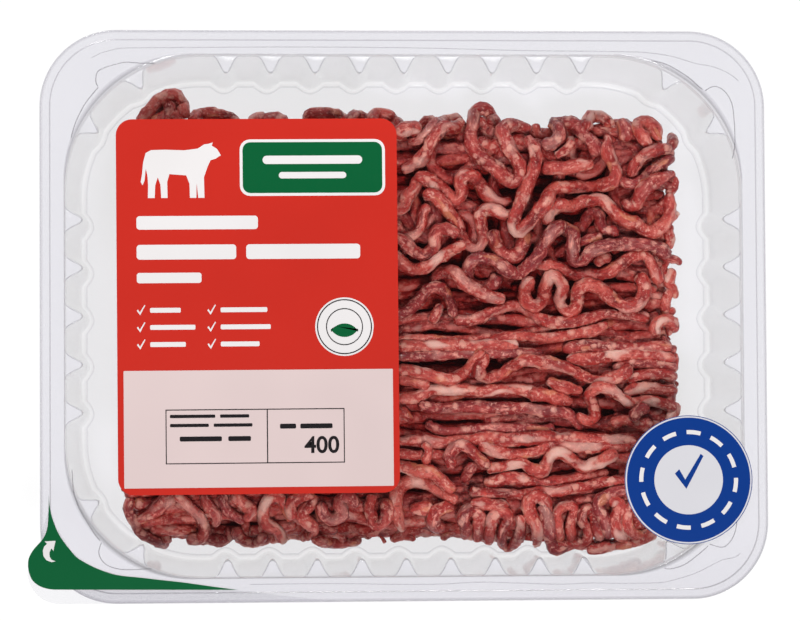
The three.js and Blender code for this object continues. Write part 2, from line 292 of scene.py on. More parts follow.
tray = {
    "corner": 24,
    "flange": 7.8,
    "lipWidth": 3.2,
    "lipDrop": 2.0,
    "mouthCorner": 42.5,
    "cornerBlend": 2.2,
    "sheet": 0.45,
    "floor": 0.6,
    "collarDraft": 0.2,
    "wallDraft": 4.0,
    "ledgeDrop": 3.2,
    "wallSteps": 7,
    "baseRound": 1.4,
    "baseSpread": 1.25,  # how much wider than high the base's rounding is
    "fluteHalfWidth": 4.5,
    "fluteDepthTop": 5.2,
    "fluteDepthBase": 2.6,
    "fluteSteps": 16,
    "longSide": {"flutes": 9, "pitch": 13.9},
    "shortSide": {"flutes": 5, "pitch": 15},
    "cornerFlutes": (30, 60),
    "cornerSteps": 30,
    "colour": (0.38, 0.355, 0.49),
    # The walls' colour and veil paint shade: the steep walls read darker and greyer than the flats
    "wallShadeColour": (0.41, 0.38, 0.51),
    # The bend lines' colour and veil paint shade: thin dark lines where the sheet bends
    "bendShadeColour": (0.16, 0.15, 0.18),
    "baseVeil": 0.11,
    "flatVeil": 0.175,
    "wallShadeVeil": 0.195,
    "bendShadeVeil": 0.55,
    # Painted shade: the front of the tray veils more and reads darker
    "frontShadeVeil": 0.3,  # how much more the front of the tray veils than the rest
    "roughness": 0.12,
    "mirror": 0.3,
    "waviness": 0.15,
}

trayLow, trayHigh = boxInMm("tray")
trayHalf = (trayHigh - trayLow)[:2] / 2
rimHeight = trayHigh[2]
mouthHalf = trayHalf - tray["flange"]


# A flute's inward share across its width: a bell, narrower at the tip near the rim than at the base
def fluteShare(across, point):
    bell = 0.5 + 0.5 * math.cos(math.pi * min(1, abs(across)))
    return bell ** (0.55 + 0.8 * point)


# Stations round the loop: side, distance along it or angle in the corner, place across a flute
def loopStations():
    halfWidth = tray["fluteHalfWidth"]
    stations = []
    for side in range(4):
        row = tray["shortSide"] if side % 2 == 0 else tray["longSide"]
        for flute in range(row["flutes"]):
            middle = (flute - (row["flutes"] - 1) / 2) * row["pitch"]
            for step in range(tray["fluteSteps"] + 1):
                across = -1 + 2 * step / tray["fluteSteps"]
                stations.append((side, "side", middle + across * halfWidth, across))
            if flute < row["flutes"] - 1:
                for share in (1 / 3, 2 / 3):
                    gap = row["pitch"] - 2 * halfWidth
                    stations.append((side, "side", middle + halfWidth + share * gap, 1))
        halfAngle = math.degrees(halfWidth / tray["mouthCorner"])
        for step in range(tray["cornerSteps"] * 2 + 1):
            angle = 90 * step / (tray["cornerSteps"] * 2)
            nearest = min(tray["cornerFlutes"], key=lambda middle: abs(angle - middle))
            stations.append((side, "corner", angle, (angle - nearest) / halfAngle))
    return stations


# One row of the loop: half sizes and corner radius of a round rectangle, less the flutes
def loopRow(stations, half, corner, depth, point):
    points = []
    straightRatio = [(half[k] - corner) / (mouthHalf[k] - tray["mouthCorner"]) for k in (0, 1)]
    for side, kind, place, across in stations:
        outward = Vector((1, 0))
        outward.rotate(Matrix.Rotation(math.radians(90 * side), 2))
        along = Vector((-outward.y, outward.x))
        reach, sideways = (half[0], half[1]) if side % 2 == 0 else (half[1], half[0])
        inward = depth * fluteShare(across, point) if abs(across) < 1 else 0
        if kind == "side":
            ratio = straightRatio[1] if side % 2 == 0 else straightRatio[0]
            spot = outward * (reach - inward) + along * place * (ratio if depth == 0 else 1)
        else:
            centre = outward * (reach - corner) + along * (sideways - corner)
            turned = outward.copy()
            turned.rotate(Matrix.Rotation(math.radians(place), 2))
            spot = centre + turned * (corner - inward * min(1, 0.4 + 0.8 * point))
        points.append(spot)
    return points


# The profile, from the lip's edge to the base: reach past the mouth, height, flute depth, point, veil
def trayProfile():
    # The veils paint light and shade: bend lines and walls get painted shade, the base's rounding a
    # paler painted highlight band
    flat, wall, line = tray["flatVeil"], tray["wallShadeVeil"], tray["bendShadeVeil"]
    top = rimHeight
    lipEnd = tray["flange"]
    fold = lipEnd - tray["lipWidth"]
    rows = [
        (lipEnd - 0.05, top - tray["lipDrop"], 0, 0, line * 0.65),
        (lipEnd, top - tray["lipDrop"] + 0.25, 0, 0, line * 0.4),
        (lipEnd - 0.1, top - tray["lipDrop"] + 0.6, 0, 0, flat),
        (lipEnd - 0.6, top - 1.05, 0, 0, line * 0.5),
        (lipEnd - 1.0, top - 0.85, 0, 0, flat),
        (fold + 0.35, top - 0.2, 0, 0, flat),
        (fold + 0.05, top - 0.05, 0, 0, line * 0.75),
        (fold - 0.3, top, 0, 0, flat),
        (1.7, top, 0, 0, flat),
        (0.9, top, 0, 0, flat),
        (0.35, top - 0.02, 0, 0, flat),
        (0.08, top - 0.15, 0, 0, line * 0.75),
        (-0.05, top - 0.5, 0, 0, wall),
    ]
    ledge = top - tray["ledgeDrop"]
    draft = tray["collarDraft"]
    rows += [
        (-draft + 0.05, ledge + 0.5, 0, 0, wall),
        (-draft, ledge + 0.12, 0, 0, line * 0.7),
        (-draft - 0.1, ledge + 0.03, 0.01, 0.8, flat),
        (-draft - 0.1, ledge, tray["fluteDepthTop"] * 0.9, 0.8, flat),
        (-draft - 0.12, ledge - 0.06, tray["fluteDepthTop"], 0.8, line),
        (-draft - 0.15, ledge - 0.4, tray["fluteDepthTop"] + 0.05, 0.78, wall),
    ]
    rounding = tray["baseRound"]
    base = tray["floor"] + rounding
    inner = -draft - 0.15
    for step in range(1, tray["wallSteps"] + 1):
        share = step / tray["wallSteps"]
        depth = tray["fluteDepthTop"] + (tray["fluteDepthBase"] - tray["fluteDepthTop"]) * share
        height = ledge - 0.4 + (base - ledge + 0.4) * share
        veil = line * 0.42 if step == tray["wallSteps"] else wall
        rows.append((inner - tray["wallDraft"] * share, height, depth, 0.75 * (1 - share), veil))
    inner -= tray["wallDraft"]
    # Round the base's edge the sheet veils less, a painted highlight band, and ends in a bend line of
    # painted shade
    for share, veil in ((0.12, flat), (0.35, 0.095), (0.6, 0.095), (0.85, 0.13), (1, line * 0.38)):
        angle = share * math.pi / 2
        reach = inner - rounding * (1 - math.cos(angle)) * tray["baseSpread"]
        height = tray["floor"] + rounding * (1 - math.sin(angle))
        rows.append((reach, height, tray["fluteDepthBase"] * (1 - 0.15 * share), 0, veil))
    for further, depthShare in ((0.3, 0.83), (4, 0.4)):
        reach = inner - rounding * tray["baseSpread"] - further
        depth = tray["fluteDepthBase"] * depthShare
        rows.append((reach, tray["floor"], depth, 0, tray["baseVeil"]))
    return rows


# The loop's corner radius: it goes from the mouth's to the outer edge's within a few millimetres
def cornerFor(reach):
    outerCorner = tray["corner"] - (tray["flange"] - reach)
    if reach <= 0:
        return tray["mouthCorner"] + reach
    blend = min(1, reach / tray["cornerBlend"])
    return tray["mouthCorner"] * (1 - blend) + outerCorner * blend


def makeTray():
    stations = loopStations()
    bm = bmesh.new()
    layer = bm.verts.layers.float.new("veil")
    bmesh.ops.create_circle(bm, segments=len(stations), radius=1)
    bm.verts.ensure_lookup_table()
    ring = [bm.verts[i] for i in range(len(stations))]
    edges = list(bm.edges)
    for index, (reach, height, depth, point, veil) in enumerate(trayProfile()):
        if index > 0:
            made = bmesh.ops.extrude_edge_only(bm, edges=edges)["geom"]
            edges = [item for item in made if isinstance(item, bmesh.types.BMEdge)]
            newVerts = {item for item in made if isinstance(item, bmesh.types.BMVert)}
            edges = [e for e in edges if e.verts[0] in newVerts and e.verts[1] in newVerts]
            following = {}
            for vert in ring:
                for edge in vert.link_edges:
                    other = edge.other_vert(vert)
                    if other in newVerts:
                        following[vert] = other
            ring = [following[vert] for vert in ring]
        half = [mouthHalf[0] + reach, mouthHalf[1] + reach]
        for vert, spot in zip(ring, loopRow(stations, half, cornerFor(reach), depth, point)):
            vert.co = (spot.x, spot.y, height)
            # Painted shade: the veil grows towards the front of the tray
            towardFront = min(1, max(0, -spot.y / trayHalf[1]))
            vert[layer] = veil * (1 + tray["frontShadeVeil"] * towardFront ** 3)
    bmesh.ops.contextual_create(bm, geom=edges)
    bmesh.ops.recalc_face_normals(bm, faces=bm.faces)
    floorFace = max(bm.faces, key=lambda f: len(f.verts))
    if floorFace.normal.z < 0:
        bmesh.ops.reverse_faces(bm, faces=bm.faces)
    mesh = meshFromBmesh("traySheet", bm)
    material, nodes, links, surface = clearMaterial(
        "clearTraySheet", tray["colour"], "veil", tray["roughness"], tray["mirror"]
    )
    # The veil picks the colour: the flats keep the sheet's tint, walls and bend lines get a painted
    # shade
    veil = attributeNode(nodes, "veil")
    stops = [
        (tray["flatVeil"] + 0.01, tray["colour"]),
        (tray["wallShadeVeil"], tray["wallShadeColour"]),
        (tray["bendShadeVeil"] * 0.8, tray["bendShadeColour"]),
    ]
    links.new(rampNode(nodes, links, veil, stops).outputs[0], surface.inputs["Base Color"])
    wave = noiseNode(nodes, links, objectCoordinates(nodes), 60, 1)
    bumpNode(nodes, links, surface, wave.outputs[0], tray["waviness"], 1)
    piece = addPiece("traySheet", mesh, material, "tray")
    solidify = piece.modifiers.new("sheet", "SOLIDIFY")
    solidify.thickness = tray["sheet"] * mm
    solidify.offset = -1
    return piece


# Points round a line's section, for a bevel of this many steps
def ringSize(ringSteps):
    return 4 + 2 * ringSteps


# A mesh of round-sectioned lines, each given as points in mm with its radius at each point
def lineMesh(name, lines, ringSteps):
    curve = bpy.data.curves.new(name, "CURVE")
    curve.dimensions = "3D"
    curve.bevel_depth = mm
    curve.bevel_resolution = ringSteps
    for points, radii in lines:
        spline = curve.splines.new("POLY")
        spline.points.add(len(points) - 1)
        spline.points.foreach_set("co", np.column_stack([points * mm, np.ones(len(points))]).ravel())
        spline.points.foreach_set("radius", radii)
    holder = bpy.data.objects.new(name, curve)
    scene.collection.objects.link(holder)
    graph = bpy.context.evaluated_depsgraph_get()
    mesh = bpy.data.meshes.new_from_object(holder.evaluated_get(graph))
    bpy.data.objects.remove(holder)
    return mesh


def walkedAlong(points):
    return np.concatenate([[0], np.cumsum(np.linalg.norm(np.diff(points, axis=0), axis=1))])


# A route through given points, as a smooth curve cut in equal steps
def smoothRoute(points, step=1.0):
    points = np.array(points, float)
    first = 2 * points[0] - points[1]
    last = 2 * points[-1] - points[-2]
    spots = np.vstack([first, points, last])
    pieces = []
    for k in range(1, len(spots) - 2):
        a, b, c, d = spots[k - 1 : k + 3]
        t = np.linspace(0, 1, 24, endpoint=False)[:, None]
        bend = (2 * a - 5 * b + 4 * c - d) * t**2 + (3 * b - a - 3 * c + d) * t**3
        pieces.append(b + 0.5 * ((c - a) * t + bend))
    pieces.append(points[-1:])
    dense = np.vstack(pieces)
    travelled = walkedAlong(dense)
    marks = np.arange(0, travelled[-1], step)
    return np.column_stack([np.interp(marks, travelled, dense[:, k]) for k in (0, 1)])


# Creases of the shallow pockets round the mouth's corners, as the pixels that they pass through
creases = {
    "radius": 0.16,
    "ringSteps": 1,
    "veils": {"deep": 0.30, "faint": 0.15},
    "roughness": 0.15,
    "deep": [
        [
            (154.5, 63.4), (140, 63.1), (126, 62.3), (114.7, 64.4), (105.5, 67.4), (97.9, 71.3),
            (95.8, 78), (96.1, 83), (98.2, 87.3)
        ],
        [(98.2, 87.3), (92.2, 94.5), (85.1, 103.7), (79, 114.9), (73.9, 127.1), (70.8, 139.4)],
        [(650.6, 60.3), (664.9, 63.9), (677.1, 70), (689.4, 78.2), (699.6, 87.3), (705.2, 90.9)],
        [
            (705.2, 90.9), (708.8, 88.2), (714.9, 86.3), (721, 88.4), (726.6, 93.5), (730.7, 100.6),
            (732.8, 107.8), (734.1, 120), (734.8, 132.2), (734.8, 146), (732, 160)
        ],
        [
            (72, 470), (73.4, 490), (76.1, 500), (80.3, 510.5), (87.3, 522.3), (94.4, 533.5),
            (101.4, 542.6)
        ],
        [
            (101.4, 542.6), (98.9, 550.3), (99.3, 555.2), (102.8, 561.6), (109.8, 566.5), (121, 569.4),
            (135.1, 569.6), (154.7, 568.3)
        ],
        [(664.4, 568), (671, 568.8), (684.3, 564.7), (696.5, 556), (706.7, 547.3), (709.8, 544.3)],
        [
            (709.8, 544.3), (714.9, 545.8), (721, 547.3), (726.1, 545.8), (731.2, 540.2), (735.3, 531),
            (737, 518), (736, 500)
        ],
    ],
    "faint": [
        [
            (91, 58), (100, 53.5), (112, 50), (126, 48), (190, 47.5), (300, 47), (420, 48), (520, 50.5),
            (620, 51.7), (646.5, 52.7), (671, 56.2), (695.5, 63.4), (711.8, 66.4), (726.1, 72),
            (735.3, 78.2), (740.4, 83.3)
        ],
        [
            (250, 584.5), (330, 583.6), (400, 584.4), (440, 584.1), (480, 582.2), (520, 583.1),
            (560, 584.2), (590, 583), (620, 583.4), (659.8, 582.6), (677, 579), (693.5, 573.9),
            (706.7, 567.8), (722, 560.1), (735.3, 557), (742.4, 551.4)
        ],
    ],
}


def makeCreases():
    height = rimHeight - 0.02
    lines = []
    veils = []
    for kind, veil in creases["veils"].items():
        for pixels in creases[kind]:
            route = smoothRoute([underPixel(*pixel, height) for pixel in pixels])
            points = np.column_stack([route, np.full(len(route), height)])
            lines.append((points, np.full(len(route), creases["radius"])))
            veils.append(np.full(len(route) * ringSize(creases["ringSteps"]), veil))
    mesh = lineMesh("trayCreases", lines, creases["ringSteps"])
    writeAttribute(mesh, "veil", np.concatenate(veils))
    # The creases are real ridges, tinted with the painted shade of the bend lines
    look = (tray["bendShadeColour"], "veil", creases["roughness"], tray["mirror"])
    addPiece("trayCreases", mesh, clearMaterial("clearCreases", *look)[0])


makeTray()
makeCreases()
print("tray ready")


# Mince: strands laid one after another on a relief map of the heap, each resting on what is below

heap = {
    "left": -87.0,
    "right": 87.5,
    "front": -70.0,
    "back": 62.0,
    "corner": 13.0,
    "coreInset": 9.0,
    "coreTop": 8.0,
    "top": 22.0,
    "edgeTop": 13.0,
    "shoulder": 16.0,
    "wallGap": 0.5,
    "cornerGap": 1.6,
    "fluteGap": 3.1,
    "fluteReach": 0.8,
    "leanSlope": 1.6,
    "mapCell": 0.5,
    "mapMargin": 14.0,
    "seed": 7,
}

# Highest that the middle of a strand lies in each layer
layerTops = {
    "base": 3.6,
    "sides": 12.5,
    "lowerRows": 9.3,
    "upperRows": 11.6,
    "deepCurls": 12.8,
    "hiddenCurls": 19.0,
    "runs": 16.2,
    "folds": 17.0,
    "lumps": 9.0,
    "sideLumps": 13.5,
    "tops": 18.6,
    "curls": 21.0,
}

strands = {
    "radius": 2.08,
    "radiusSpread": 0.14,
    "ringSteps": 4,
    "step": 1.1,
    "press": 0.42,
    "stiffness": 5.0,
    "bendOver": 2.2,
    "crossingLag": 8,
    "overTop": 0.12,  # how much of its height above the layer's top a strand keeps
    "onFloor": 0.86,
    "lumps": ((0.12, 11, 4.2), (0.10, 12, 2.1)),  # share of the radius, seed, wave
}

rows = {"pitch": 4.2, "sway": 1.4, "swayLength": 120, "wander": 1.3, "wanderLength": 46}
curls = {"length": 95, "wave": 46, "swing": 1.6, "radius": 2.2}

restFloor = boxInMm("mince")[0][2]
dice = np.random.default_rng(heap["seed"])
mapCorner = np.array([heap["left"], heap["front"]]) - heap["mapMargin"]
mapShape = (
    np.array([heap["right"] - heap["left"], heap["back"] - heap["front"]]) + 2 * heap["mapMargin"]
) / heap["mapCell"]
relief = np.full(np.ceil(mapShape).astype(int) + 1, restFloor, float)


# Distance, in mm, inside the heap's round-cornered outline; negative outside
def insideHeap(points, inset=0.0):
    middle = np.array([heap["left"] + heap["right"], heap["front"] + heap["back"]]) / 2
    half = np.array([heap["right"] - heap["left"], heap["back"] - heap["front"]]) / 2
    corner = heap["corner"]
    past = np.abs(points - middle) - (half - corner)
    outside = np.hypot(np.maximum(past[..., 0], 0), np.maximum(past[..., 1], 0))
    return corner - outside - np.minimum(np.maximum(past[..., 0], past[..., 1]), 0) - inset


# Cells under a ball of this radius, and how far its surface stands over its middle there
def ballCells(radius):
    reach = int(radius / heap["mapCell"]) + 1
    cells = np.mgrid[-reach : reach + 1, -reach : reach + 1].reshape(2, -1)
    gap = np.hypot(cells[0], cells[1]) * heap["mapCell"]
    near = gap < radius * 0.97
    return cells[:, near], np.sqrt(radius**2 - gap[near] ** 2)


def smoothAlong(values, reach):
    spread = max(1, int(reach * 2))
    weights = np.exp(-(np.arange(-spread, spread + 1) ** 2) / (2 * reach * reach))
    padded = np.pad(values, spread, mode="edge")
    return np.convolve(padded, weights / weights.sum(), mode="valid")


def mapSpots(route, cells):
    middle = np.round((route - mapCorner) / heap["mapCell"]).astype(int)
    across = np.clip(middle[:, :1] + cells[0], 0, relief.shape[0] - 1)
    deep = np.clip(middle[:, 1:] + cells[1], 0, relief.shape[1] - 1)
    return across, deep


# Moves points of a route inward where a strand there would press into the wall or its flutes
def keepOffWall(route, radius):
    draft = tray["wallDraft"] + tray["collarDraft"]
    corner = tray["mouthCorner"] - draft
    straight = mouthHalf - tray["mouthCorner"]
    past = np.maximum(np.abs(route) - straight, 0)
    row = tray["longSide"]
    outermost = (row["flutes"] - 1) / 2
    nearest = np.clip(np.round(route[:, 0] / row["pitch"]), -outermost, outermost) * row["pitch"]
    across = np.minimum(1, np.abs(route[:, 0] - nearest) / (tray["fluteHalfWidth"] + heap["fluteReach"]))
    beforeFlute = heap["wallGap"] + heap["fluteGap"] * (0.5 + 0.5 * np.cos(math.pi * across))
    gap = np.where(past[:, 0] > 0, heap["cornerGap"], beforeFlute)
    gap = smoothAlong(gap, 1.5)
    reach = np.hypot(past[:, 0], past[:, 1])
    share = np.minimum(1, (corner - radius - gap) / np.maximum(reach, 0.01))
    held = np.where(past > 0, straight + past * share[:, None], np.abs(route))
    return np.copysign(held, route)


# Lays one strand along a route on the relief map and returns its points with their heights
def layStrand(
    route, radius, layer, press=strands["press"], stiffness=strands["stiffness"], crossing=False
):
    route = keepOffWall(route, radius)
    cells, rise = ballCells(radius)
    across, deep = mapSpots(route, cells)
    if crossing:
        under = relief.copy()
        lag = strands["crossingLag"]
        heights = np.empty(len(route))
        for i in range(len(route)):
            heights[i] = (under[across[i], deep[i]] + rise).max()
            if i >= lag:
                spots = (across[i - lag], deep[i - lag])
                under[spots] = np.maximum(under[spots], heights[i - lag] + rise - press * radius)
    else:
        heights = (relief[across, deep] + rise).max(axis=1)
    heights = smoothAlong(heights, stiffness) - press * radius
    slope = np.clip(insideHeap(route) / heap["shoulder"], 0, 1)
    highest = heap["edgeTop"] + (heap["top"] - heap["edgeTop"]) * np.sqrt(slope)
    highest = np.minimum(highest, layerTops[layer])
    over = heights - highest
    heights = np.where(over > 0, highest + strands["overTop"] * over, heights)
    leaning = smoothAlong(np.clip(-insideHeap(route) - 0.5, 0, 6) * heap["leanSlope"], 2.5)
    heights = np.maximum(heights, restFloor + radius * strands["onFloor"] + leaning)
    np.maximum.at(relief, (across, deep), heights[:, None] + rise)
    return np.column_stack([route, heights])


# A route that swings from side to side, as a strand does when it drops and folds on itself
def swingingRoute(start, heading, length, wave, swing):
    walked = np.arange(0, length, 1.0)
    phase, slow = dice.uniform(0, 2 * math.pi, 2)
    size = swing * (0.8 + 0.35 * np.sin(2 * math.pi * walked / (wave * 2.7) + slow))
    angle = heading + size * np.sin(2 * math.pi * walked / wave + phase)
    angle += 0.25 * np.sin(2 * math.pi * walked / (wave * 1.9) + 2 * slow)
    return start + np.cumsum(np.column_stack([np.cos(angle), np.sin(angle)]), axis=0)


# The longest stretch of a route that stays inside the heap
def keepInside(route, inset):
    inside = insideHeap(route, inset) > 0
    best, start = (0, 0), None
    for i, good in enumerate(np.append(inside, False)):
        if good and start is None:
            start = i
        if not good and start is not None:
            if i - start > best[1] - best[0]:
                best = (start, i)
            start = None
    return route[best[0] : best[1]]


def drawRadius():
    return strands["radius"] * (1 + dice.uniform(-1, 1) * strands["radiusSpread"])


# Slow sideways sway that neighbouring rows share
def rowSway(x, y):
    length = rows["swayLength"]
    return rows["sway"] * (
        np.sin(2 * math.pi * (x / length + y / 140))
        + 0.6 * np.sin(2 * math.pi * (x / (length * 0.57) - y / 90) + 1.3)
    )


# One layer of straight strands from left to right
def straightLayer(layer, inset, shift, swayScale=1.0, clearUnderCurls=False):
    laid = []
    count = int((heap["back"] - heap["front"]) / rows["pitch"])
    order = dice.permutation(count)
    for row in order:
        y = heap["front"] + 3 + (row + shift) * rows["pitch"]
        x = np.arange(heap["left"] - 6, heap["right"] + 6, 1.0)
        phase = dice.uniform(0, 2 * math.pi)
        bendLength = rows["wanderLength"] * dice.uniform(0.6, 1.5)
        wander = rows["wander"] * dice.uniform(0.4, 1.4) * np.sin(2 * math.pi * x / bendLength + phase)
        wander += dice.normal(0, 0.02) * x + dice.normal(0, 0.7)
        route = np.column_stack([x, y + swayScale * rowSway(x, y) + wander])
        route = keepInside(route, inset + dice.uniform(-2.2, 1.0))
        if clearUnderCurls and y > 4:
            route = route[route[:, 0] < dice.uniform(-12, -4)]
        if len(route) < 20:
            continue
        if dice.uniform() < 0.45:
            cut = int(len(route) * dice.uniform(0.25, 0.75))
            parts = [route[: cut - 2], route[cut + 1 :]]
        else:
            parts = [route]
        for part in parts:
            if len(part) > 8:
                radius = drawRadius()
                laid.append((layStrand(part, radius, layer, stiffness=4.0), radius))
    return laid


# Short strands that end at the left and right sides, in layers from the base up
def sideStubs():
    laid = []
    for side in (-1, 1):
        edge = heap["right"] if side > 0 else heap["left"]
        for layer in range(3):
            y = heap["front"] + 4
            while y < heap["back"] - 4:
                y += rows["pitch"] * dice.uniform(0.85, 1.15)
                length = dice.uniform(14, 20)
                start = edge + side * dice.uniform(-4.0, 1.2) - side * layer * 0.5
                slope = dice.uniform(-0.25, 0.25)
                bend = dice.uniform(-1.6, 1.6)
                walked = np.arange(0, length, 1.0)
                sideways = slope * walked + bend * np.exp(-walked / 3.5)
                route = np.column_stack([start - side * walked, y + sideways])
                overlap = insideHeap(route[:1])[0] - dice.uniform(-1.5, 1.5)
                if overlap < 0:
                    route[:, 0] += side * overlap
                radius = drawRadius()
                laid.append((layStrand(route, radius, "sides"), radius))
    return laid


# Long strands along the front and back sides, in layers from the base up
def edgeRuns():
    laid = []
    for layer in range(2):
        for edge, inward in ((heap["front"], 1), (heap["back"], -1)):
            for run in range(3):
                y = edge + inward * (2.2 + run * rows["pitch"] + layer * 0.8)
                x = np.arange(heap["left"], heap["right"], 1.0)
                phase = dice.uniform(0, 2 * math.pi)
                route = np.column_stack([x, y + 0.8 * np.sin(x / 9 + phase)])
                route = keepInside(route, 1 + layer * 0.5)
                radius = drawRadius()
                laid.append((layStrand(route, radius, "sides", stiffness=3.0), radius))
    return laid


# Curled strands over a stretch of the heap, each laid over the ones before
def curledLayer(layer, stretch, columns, rowCount, inset):
    left, right, front, back = stretch
    laid = []
    for row in range(rowCount):
        for column in range(columns):
            x = left + (column + dice.uniform(0, 1)) * (right - left) / columns
            y = front + (row + dice.uniform(0.1, 0.9)) * (back - front) / rowCount
            heading = dice.choice([0, math.pi]) + dice.normal(0, 0.5)
            length = curls["length"] * dice.uniform(0.5, 1.2)
            wave = curls["wave"] * dice.uniform(0.6, 1.2)
            route = swingingRoute(np.array([x, y]), heading, length, wave, curls["swing"])
            route = keepInside(route, inset)
            within = (route[:, 0] > left) & (route[:, 0] < right)
            route = route[within & (route[:, 1] > front)]
            if len(route) < 18 or np.abs(np.diff(route, axis=0)).max() > 3:
                continue
            radius = drawRadius() * curls["radius"] / strands["radius"]
            press = strands["press"] * 0.8
            points = layStrand(route, radius, layer, press, strands["bendOver"], True)
            laid.append((points, radius))
    return laid


# Strands that show best in the picture, each as the pixels that it passes through
tracedHeights = {"runs": 16.5, "tops": 19, "curls": 21, "folds": 14}
tracedRuns = [
    [
        (453, 319), (472, 320), (487, 314), (502, 308), (518, 305), (530, 311), (542, 319), (552, 322),
        (571, 322), (592, 317), (610, 314), (632, 315), (653, 319)
    ],
    [(397, 339), (423, 340), (453, 342), (478, 340), (496, 336)],
    [(487, 342), (505, 337), (524, 336), (545, 338), (560, 336), (580, 333), (598, 329), (609, 322)],
    [(397, 346), (423, 346), (444, 345), (478, 347), (499, 345), (522, 346)],
    [(397, 356), (423, 356), (450, 355), (478, 353), (499, 353), (524, 353), (545, 355)],
    [(563, 351), (578, 346), (598, 346), (620, 348), (638, 348), (656, 346), (673, 349)],
    [(566, 359), (586, 359), (609, 356), (632, 354), (656, 356), (679, 359)],
    [(613, 369), (632, 363), (650, 363), (670, 366), (682, 369)],
    [(626, 379), (647, 374), (666, 374), (679, 379)],
    [(397, 398), (416, 397), (433, 389), (456, 389), (484, 391), (508, 389), (527, 391), (548, 398)],
    [
        (418, 406), (443, 408), (472, 406), (499, 408), (524, 408), (547, 411), (555, 411), (568, 414),
        (578, 423), (584, 432)
    ],
    [(528, 394), (543, 395), (558, 398), (575, 402)],
    [(623, 392), (641, 388), (659, 389), (679, 392)],
    [(426, 423), (444, 431), (465, 431), (487, 429), (508, 429), (530, 429), (547, 429), (557, 424)],
    [
        (397, 441), (423, 441), (444, 443), (465, 441), (487, 438), (508, 440), (530, 438), (547, 437),
        (558, 438), (586, 439), (613, 441), (638, 442)
    ],
    [
        (478, 444), (496, 451), (518, 454), (537, 451), (547, 447), (563, 446), (586, 447), (607, 447),
        (632, 447)
    ],
    [
        (484, 484), (499, 480), (514, 478), (530, 480), (545, 483), (555, 483), (571, 480), (591, 475),
        (611, 473)
    ],
    [
        (469, 492), (484, 493), (505, 493), (522, 495), (539, 491), (549, 492), (571, 489), (591, 485),
        (609, 481), (632, 480)
    ],
    [(397, 454), (416, 455), (438, 455), (450, 457)],
    [(610, 423), (626, 421), (641, 424), (656, 423)],
    [(397, 377), (416, 382), (432, 386)],
    [(613, 457), (626, 458), (644, 457)],
]
tracedTops = [
    [(397, 369), (416, 371), (436, 377), (453, 379), (467, 371), (476, 359), (485, 350)],
    [
        (487, 353), (482, 362), (479, 371), (487, 377), (502, 374), (514, 365), (528, 360), (545, 362),
        (552, 363), (571, 369), (589, 378), (606, 380), (620, 376), (629, 369), (634, 366)
    ],
    [
        (682, 410), (666, 404), (647, 400), (632, 403), (621, 397), (609, 389), (597, 388), (591, 395),
        (594, 405), (597, 415), (589, 421), (581, 417), (578, 411)
    ],
    [(639, 420), (635, 415), (641, 409), (652, 409)],
    [
        (487, 469), (505, 466), (522, 463), (534, 470), (544, 472), (548, 464), (552, 455), (561, 452),
        (572, 458), (584, 466), (597, 464), (607, 458), (619, 452)
    ],
    [(423, 443), (429, 451), (426, 461), (430, 469)],
    [(453, 467), (449, 457), (456, 447), (465, 446), (475, 454), (484, 463), (490, 470)],
    [(464, 483), (469, 472), (475, 463)],
    [(397, 464), (415, 470), (432, 473), (444, 483), (458, 493)],
    [(400, 408), (407, 415), (415, 423)],
    [(548, 380), (560, 386), (574, 389), (585, 391)],
]
